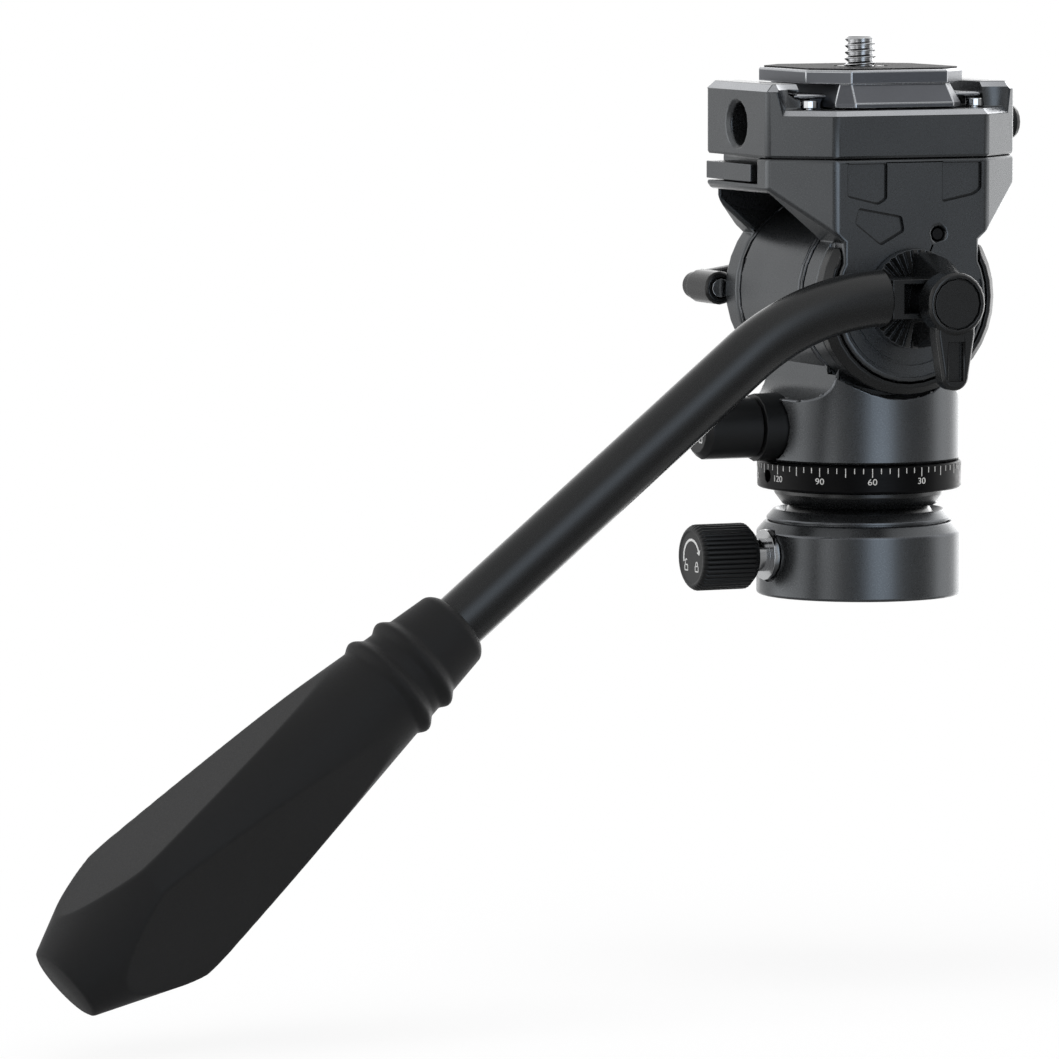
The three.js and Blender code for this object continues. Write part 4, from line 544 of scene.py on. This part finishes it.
def makeGrip():
    # the turned shape is cut by three flats; near a flat's edge the smaller of the two is taken softly
    g = gripShape
    t = np.linspace(0, g["length"], g["stations"])
    radius = gripRadius(t)
    rounding = np.clip(1 - (g["length"] - t) / g["endRound"], 0, 1)
    radius = radius - g["endRound"] * (1 - np.sqrt(1 - rounding ** 2))
    angle = np.linspace(0, 2 * np.pi, g["count"], endpoint=False)
    third = 2 * np.pi / 3
    fromFlat = (angle + third / 2) % third - third / 2
    flat = g["flat"] / np.cos(fromFlat)[None, :]
    turnedRadius = radius[:, None]
    blend = g["flatBlend"]
    gap = np.clip(0.5 + (flat - turnedRadius) / (2 * blend), 0, 1)
    reach = turnedRadius * gap + flat * (1 - gap) - blend * gap * (1 - gap)
    slope = math.radians(tubeShape["endSlope"])
    start, _ = tubeLine(np.array([g["start"]]))
    across = np.array([0, -1, 0])
    upward = np.array([-math.sin(slope), 0, math.cos(slope)])
    outward = np.array([-math.cos(slope), 0, -math.sin(slope)])
    rings = (start[0] + t[:, None, None] * outward + (reach * np.sin(angle))[..., None] * across
             + (reach * np.cos(angle))[..., None] * upward)
    mouth = start[0] + g["bore"] * (np.sin(angle)[:, None] * across + np.cos(angle)[:, None] * upward)
    inside = mouth + outward * 12
    rings = np.concatenate([inside[None], mouth[None], rings])
    vertices, faces = closedRows(rings * mm)
    piece = toMesh("handle_grip_finished", vertices, faces, [rubber])
    piece.data.set_sharp_from_angle(angle=math.radians(40))
    attach(piece, "handle", "black_rubber", "handle_grip")


makeTube()
makeGrip()
print("handle made")


screwShape = {"crest": 3.15, "root": 2.5, "pitch": 1.27, "threadStart": 101.2, "tip": 109.87, "tipChamfer": 0.7,
              "headRadius": 6.85, "headBottom": 97.1, "headTop": 99.1, "stations": 150, "count": 96}


def makeScrew():
    # the radius at a height and angle follows a 60 degree vee that climbs one pitch a turn, under a coned tip
    s = screwShape
    heights = np.linspace(s["threadStart"], s["tip"], s["stations"])
    angle = np.linspace(0, 2 * np.pi, s["count"], endpoint=False)
    phase = (heights[:, None] / s["pitch"] - angle[None, :] / (2 * np.pi)) % 1
    vee = np.clip(1.25 * (1 - np.abs(2 * phase - 1)) - 0.12, 0, 1)
    radius = s["root"] + (s["crest"] - s["root"]) * vee
    cone = s["crest"] - np.clip(heights - s["tip"] + s["tipChamfer"], 0, None)
    radius = np.minimum(radius, cone[:, None])
    low = np.array([[s["headRadius"] - 0.3, s["headBottom"]], [s["headRadius"], s["headBottom"] + 0.3],
                    [s["headRadius"], s["headTop"] - 0.2], [s["headRadius"] - 0.2, s["headTop"]],
                    [s["crest"], s["headTop"]], [s["crest"], s["threadStart"] - 0.05]])
    radius = np.concatenate([np.repeat(low[:, :1], angle.size, axis=1), radius])
    heights = np.concatenate([low[:, 1], heights])
    rings = np.stack([radius * np.cos(angle), radius * np.sin(angle),
                      np.repeat(heights[:, None], angle.size, axis=1)], axis=-1)
    vertices, faces = closedRows(rings * mm)
    piece = toMesh("camera_screw_finished", vertices, faces, [plated])
    piece.data.set_sharp_from_angle(angle=math.radians(50))
    attach(piece, "screw", "bright_steel", "camera_screw")


makeScrew()
print("screw made")


knobShape = {"height": 8.3, "radius": 6.5, "outer": -36.65, "inner": -23.95, "innerChamfer": 1.45, "rim": 0.9,
             "ribs": 40, "ribDepth": 0.42, "faceInset": 0.15, "count": 480, "bore": 2.3}


def makeBaseKnob():
    # the outline is a circle with a rounded rib wave; it shrinks over the rim and over the inner chamfer
    k = knobShape
    angle = np.linspace(0, 2 * np.pi, k["count"], endpoint=False)
    wave = k["ribDepth"] * np.abs(np.sin(angle * k["ribs"] / 2)) ** 0.6
    outer, inner, rim = k["outer"], k["inner"], k["rim"]
    stations = [  # place along the axis, how much smaller than the radius, share of the rib wave
        (outer + k["faceInset"], rim + 0.75, 0), (outer + k["faceInset"], rim + 0.55, 0), (outer, rim + 0.4, 0),
        (outer, rim, 0), (outer + 0.35 * rim, 0.5 * rim, 0.3), (outer + rim, 0.06, 0.9),
        (outer + rim + 0.2, 0, 1), (inner - k["innerChamfer"] - 0.2, 0, 1), (inner - k["innerChamfer"], 0.06, 1),
        (inner - 0.15, k["innerChamfer"] - 0.1, 0.3), (inner, k["innerChamfer"] + 0.1, 0),
        (inner, k["radius"] - k["bore"], 0), (inner - 8, k["radius"] - k["bore"], 0),
    ]
    along, smaller, waveShare = np.array(stations).T
    radius = k["radius"] - smaller[:, None] - waveShare[:, None] * (k["ribDepth"] - wave)[None, :]
    rings = np.stack([np.repeat(along[:, None], angle.size, axis=1), -radius * np.cos(angle),
                      k["height"] + radius * np.sin(angle)], axis=-1)
    vertices, faces = closedRows(rings * mm)
    piece = toMesh("base_knob_finished", vertices, [face[::-1] for face in faces], [moulded])
    piece.data.set_sharp_from_angle(angle=math.radians(50))
    attach(piece, "base_lock", "knob_black", "base_knob")


makeBaseKnob()
print("base knob made")


scaleShape = {"radius": 20.1, "proud": 0.02, "depth": 0.05, "top": 26.15, "step": 5, "width": 0.16, "short": 1.05,
              "long": 1.75, "labelStep": 30, "labelHeight": 1.25, "labelWiden": 1.14, "labelMiddle": 23.45,
              "zeroAngle": -49, "fontPerHeight": 1.38}
textDepth = 0.03


def makeTicks():
    # every tick is a thin plate bent round the ring: its angle from the value, its length from the step
    s = scaleShape
    values = np.arange(0, 360, s["step"])
    lengths = np.where(values % (3 * s["step"]) == 0, s["long"], s["short"])
    half = s["width"] / 2 / s["radius"]
    side = np.tile([-half, half, half, -half], 2)
    isTop = np.tile([0, 0, 1, 1], 2)
    radius = s["radius"] + np.repeat([-s["depth"], s["proud"]], 4)
    turn = np.radians(s["zeroAngle"] - values)[:, None] + side
    height = s["top"] - lengths[:, None] * (1 - isTop)
    vertices = np.stack([radius * np.cos(turn), radius * np.sin(turn), height], axis=-1)
    box = np.array([(0, 3, 2, 1), (4, 5, 6, 7), (0, 1, 5, 4), (1, 2, 6, 5), (2, 3, 7, 6), (3, 0, 4, 7)])
    faces = (np.arange(values.size)[:, None, None] * 8 + box).reshape(-1, 4).tolist()
    piece = toMesh("ring_scale_ticks", vertices.reshape(-1, 3) * mm, faces, [whitePrint])
    piece.data.shade_flat()
    attach(piece, "ball", "satin_black")


def textMesh(words, size):
    # the outline font as a thin plate, made a mesh before it is placed
    curve = bpy.data.curves.new("label", "FONT")
    curve.body = words
    curve.size = size
    curve.align_x = "CENTER"
    curve.align_y = "CENTER"
    curve.extrude = textDepth
    holder = bpy.data.objects.new("label", curve)
    bpy.context.scene.collection.objects.link(holder)
    mesh = bpy.data.meshes.new_from_object(holder)
    bpy.data.objects.remove(holder)
    points = np.empty((len(mesh.vertices), 3))
    mesh.vertices.foreach_get("co", points.ravel())
    corners = np.empty(len(mesh.loops), int)
    mesh.loops.foreach_get("vertex_index", corners)
    starts = np.empty(len(mesh.polygons), int)
    mesh.polygons.foreach_get("loop_start", starts)
    return points, np.split(corners, starts[1:])


def makeNumbers():
    # flat numbers are rolled on the ring: across becomes an angle, up stays a height
    s = scaleShape
    vertices, faces, start = [], [], 0
    for value in range(s["labelStep"], 360, s["labelStep"]):
        flat, flatFaces = textMesh(str(value), s["labelHeight"] * s["fontPerHeight"])
        turn = math.radians(s["zeroAngle"] - value) + flat[:, 0] * s["labelWiden"] / s["radius"]
        radius = s["radius"] + s["proud"] - textDepth + flat[:, 2]
        height = s["labelMiddle"] + flat[:, 1]
        vertices.append(np.stack([radius * np.cos(turn), radius * np.sin(turn), height], axis=-1))
        faces += [(corners + start).tolist() for corners in flatFaces]
        start += len(flat)
    piece = toMesh("ring_scale_numbers", np.concatenate(vertices) * mm, faces, [whitePrint])
    piece.data.shade_flat()
    attach(piece, "ball", "satin_black")


iconShape = {"arcRadius": 3.5, "arcWidth": 0.5, "arcFrom": 195, "arcTo": 25, "arrow": 0.85, "lockAcross": 2.35,
             "lockHeight": -1.5, "lockWidth": 1.35, "lockBody": 1.05, "shackle": 0.42, "line": 0.26, "proud": 0.03,
             "depth": 0.05}


def ribbon(points, width):
    # a flat band of this width along a line of points
    points = np.asarray(points, float)
    along = np.gradient(points, axis=0)
    normal = np.stack([-along[:, 1], along[:, 0]], axis=-1)
    normal /= np.linalg.norm(normal, axis=1)[:, None]
    return np.concatenate([points + normal * width / 2, (points - normal * width / 2)[::-1]])


def flatPlates(outlines, thickness):
    # each outline, taken anticlockwise, gives a back and a front face with a wall of quads between them
    vertices, faces, start = [], [], 0
    for outline in outlines:
        ahead = np.roll(outline, -1, axis=0)
        area = np.sum(outline[:, 0] * ahead[:, 1] - ahead[:, 0] * outline[:, 1])
        points = outline if area > 0 else outline[::-1]
        count = len(points)
        vertices += [np.insert(points, 2, 0, axis=1), np.insert(points, 2, thickness, axis=1)]
        around = np.arange(start, start + count)
        wall = np.array(gridFaces(2, count)) + start
        faces += [around[::-1].tolist(), (around + count).tolist()] + wall.tolist()
        start += 2 * count
    return np.concatenate(vertices), faces


def lockOutlines(middle, isOpen):
    i = iconShape
    x, y = middle
    halfWidth, body, r = i["lockWidth"] / 2, i["lockBody"], i["shackle"]
    case = np.array([(x - halfWidth, y - body), (x + halfWidth, y - body), (x + halfWidth, y), (x - halfWidth, y),
                     (x - halfWidth, y - body)])
    outlines = [ribbon(case[side:side + 2], i["line"]) for side in range(4)]
    turn = np.radians(np.linspace(180, 40 if isOpen else 0, 14))
    lift = 0.3 if isOpen else 0
    arch = np.stack([x + r * np.cos(turn), y + 0.35 + lift + r * np.sin(turn)], axis=-1)
    legs = np.concatenate([[(x - r, y)], arch] if isOpen else [[(x - r, y)], arch, [(x + r, y)]])
    outlines.append(ribbon(legs, i["line"]))
    return outlines


def makeKnobPrint(name, body, middleHeight, faceX, scale):
    # outlines are drawn on the end face: across is -Y, up is Z, and each is a thin plate
    i = iconShape
    turn = np.radians(np.linspace(i["arcFrom"], i["arcTo"], 40))
    arc = i["arcRadius"] * np.stack([np.cos(turn), np.sin(turn)], axis=-1)
    tip = arc[-1] + 0.9 * np.array([math.sin(turn[-1]), -math.cos(turn[-1])])
    outward = arc[-1] / i["arcRadius"]
    head = np.array([arc[-1] + outward * i["arrow"], tip, arc[-1] - outward * i["arrow"]])
    outlines = [ribbon(arc, i["arcWidth"]), head]
    outlines += lockOutlines((-i["lockAcross"], i["lockHeight"]), True)
    outlines += lockOutlines((i["lockAcross"], i["lockHeight"]), False)
    vertices, faces = flatPlates([outline * scale for outline in outlines], i["proud"] + i["depth"])
    across, up, out = vertices.T
    placed = np.stack([faceX + i["depth"] - out, -across, middleHeight + up], axis=-1)
    piece = toMesh(name, placed * mm, faces, [whitePrint])
    piece.data.shade_flat()
    attach(piece, body, "knob_black")


makeTicks()
makeNumbers()
makeKnobPrint("base_knob_print", "base_lock", 8.3, knobShape["outer"] + knobShape["faceInset"], 1.0)
makeKnobPrint("pan_knob_print", "pan_lock", 33.45, -35.65, 0.95)
print("print made")


studio = {"floorHeight": -78, "floorSize": 3, "shadowShare": 0.35, "fadeFrom": 40, "fadeTo": 260,
          "worldDiffuse": 0.5, "glossyAbove": 0.8, "glossyAboveRight": 0.35, "glossyBelow": 0.3}
# what glossy rays alone see, by the angle right of the front: levels tuned so that the metal shades as in the
# photograph. It isn't the pale background that camera rays see, an open failure
azimuthLevels = [(-180, 1.1), (-150, 0.75), (-125, 2.2), (-98, 1.6), (-78, 0.65), (-62, 1.5), (-45, 0.36),
                 (-24, 0.2), (-8, 2.4), (5, 2.4), (19, 0.44), (38, 0.26), (58, 0.3), (80, 2.0), (100, 1.2),
                 (116, 2.6), (133, 4.2), (155, 2.0), (180, 1.1)]
coolBand = (-10, 7)  # tinted slightly blue, tuned the same way
lamps = [  # place, size, watts, colour
    ("key_top", (-0.3, -0.5, 1.5), (1.4, 1.0), 13, "#ffffff"),
    ("right_strip", (1.5, 0.35, 0.35), (0.5, 1.2), 9, "#ffffff"),
    ("left_strip", (-1.1, 0.9, 0.4), (0.5, 1.2), 6, "#f6f8ff"),
]
cameraPlace = {"location": (-0.73746, -1.47267, 0.15795), "heading": 24.34, "pitch": -5.05, "lens": 284.7}


def makeFloor():
    s = studio
    half = s["floorSize"] / 2
    grid = np.array([(-half, -half), (half, -half), (half, half), (-half, half)])
    vertices = np.concatenate([grid, np.full((4, 1), s["floorHeight"] * mm)], axis=1)
    material = bpy.data.materials.new("white_paper_floor")
    material.use_nodes = True
    tree = material.node_tree
    tree.nodes.clear()
    ray = addNode(tree, "LightPath")
    away = addNode(tree, "VectorMath", {0: addNode(tree, "TexCoord").outputs["Object"]}, operation="LENGTH")
    white = addNode(tree, "MapRange", {"Value": away.outputs["Value"], "From Min": s["fadeFrom"] * mm,
                                       "From Max": s["fadeTo"] * mm, "To Min": 1 - s["shadowShare"], "To Max": 1})
    share = addNode(tree, "Math", {0: ray.outputs["Is Camera Ray"], 1: white.outputs["Result"]}, operation="MULTIPLY")
    paper = addNode(tree, "BsdfDiffuse", {"Color": colour("#ffffff")})
    glow = addNode(tree, "Emission", {"Color": (1, 1, 1, 1), "Strength": 1})
    mix = addNode(tree, "MixShader", {"Fac": share.outputs["Value"], 1: paper.outputs["BSDF"],
                                      2: glow.outputs["Emission"]})
    addNode(tree, "OutputMaterial", {"Surface": mix.outputs["Shader"]})
    floor = toMesh("floor", vertices, [(0, 1, 2, 3)], [material])
    floor.visible_glossy = False  # glossy rays see the tuned levels in its place


def makeWorld():
    s = studio
    world = bpy.data.worlds.new("white_studio")
    bpy.context.scene.world = world
    world.use_nodes = True
    tree = world.node_tree
    tree.nodes.clear()
    ray = addNode(tree, "LightPath")
    way = addNode(tree, "SeparateXYZ", {"Vector": addNode(tree, "TexCoord").outputs["Generated"]})
    front = addNode(tree, "Math", {0: way.outputs["Y"], 1: -1}, operation="MULTIPLY")
    azimuth = addNode(tree, "Math", {0: way.outputs["X"], 1: front.outputs["Value"]}, operation="ARCTAN2")
    share = addNode(tree, "MapRange", {"Value": azimuth.outputs["Value"], "From Min": -math.pi, "From Max": math.pi})
    levels = addNode(tree, "ValToRGB", {"Fac": share.outputs["Result"]})
    levels.color_ramp.interpolation = "EASE"
    top = max(level for _, level in azimuthLevels)
    while len(levels.color_ramp.elements) < len(azimuthLevels):
        levels.color_ramp.elements.new(0.5)
    for element, (degrees, level) in zip(levels.color_ramp.elements, azimuthLevels):
        tint = colour("#e4f1ff" if coolBand[0] < degrees < coolBand[1] else "#ffffff")
        element.position = (degrees + 180) / 360
        element.color = (*[level / top * part for part in tint[:3]], 1)
    around = addNode(tree, "VectorMath", {0: levels.outputs["Color"], "Scale": top}, operation="SCALE")
    upShare = addNode(tree, "MapRange", {"Value": way.outputs["Z"], "From Min": 0.35, "From Max": 0.85})
    above = addNode(tree, "Math", {0: way.outputs["X"], 1: s["glossyAboveRight"], 2: s["glossyAbove"]},
                    operation="MULTIPLY_ADD")
    upper = addNode(tree, "MixRGB", {"Fac": upShare.outputs["Result"], "Color1": around.outputs["Vector"],
                                     "Color2": above.outputs["Value"]})
    downShare = addNode(tree, "MapRange", {"Value": way.outputs["Z"], "From Min": -0.15, "From Max": -0.6})
    low, matt = (s["glossyBelow"],) * 3 + (1,), (s["worldDiffuse"],) * 3 + (1,)
    seen = addNode(tree, "MixRGB", {"Fac": downShare.outputs["Result"], "Color1": upper.outputs["Color"],
                                    "Color2": low})
    lit = addNode(tree, "MixRGB", {"Fac": ray.outputs["Is Glossy Ray"], "Color1": matt,
                                   "Color2": seen.outputs["Color"]})
    direct = addNode(tree, "Math", {0: ray.outputs["Is Camera Ray"], 1: ray.outputs["Is Transmission Ray"]},
                    operation="MAXIMUM")
    shown = addNode(tree, "MixRGB", {"Fac": direct.outputs["Value"], "Color1": lit.outputs["Color"],
                                     "Color2": (1, 1, 1, 1)})
    background = addNode(tree, "Background", {"Color": shown.outputs["Color"], "Strength": 1})
    addNode(tree, "OutputWorld", {"Surface": background.outputs["Background"]})


def makeLamps():
    for name, place, size, power, tint in lamps:
        light = bpy.data.lights.new(name, "AREA")
        light.shape = "RECTANGLE"
        light.size, light.size_y = size
        light.energy = power
        light.color = colour(tint)[:3]
        lamp = bpy.data.objects.new(name, light)
        bpy.context.scene.collection.objects.link(lamp)
        lamp.location = place
        lamp.visible_glossy = False  # glossy rays see the tuned levels alone
        aim = bpy.context.scene.cursor.location.copy()
        aim.xyz = (0, 0, 0.06)
        lamp.rotation_euler = (aim - lamp.location).to_track_quat("-Z", "Y").to_euler()


def makeCamera():
    c = cameraPlace
    camera = bpy.data.cameras.new("camera")
    camera.lens = c["lens"]
    camera.sensor_width = 36
    holder = bpy.data.objects.new("camera", camera)
    bpy.context.scene.collection.objects.link(holder)
    holder.location = c["location"]
    holder.rotation_euler = (math.radians(90 + c["pitch"]), 0, math.radians(-c["heading"]))
    bpy.context.scene.camera = holder
    bpy.context.scene.view_settings.view_transform = "Standard"


makeFloor()
makeWorld()
makeLamps()
makeCamera()
print("studio set")
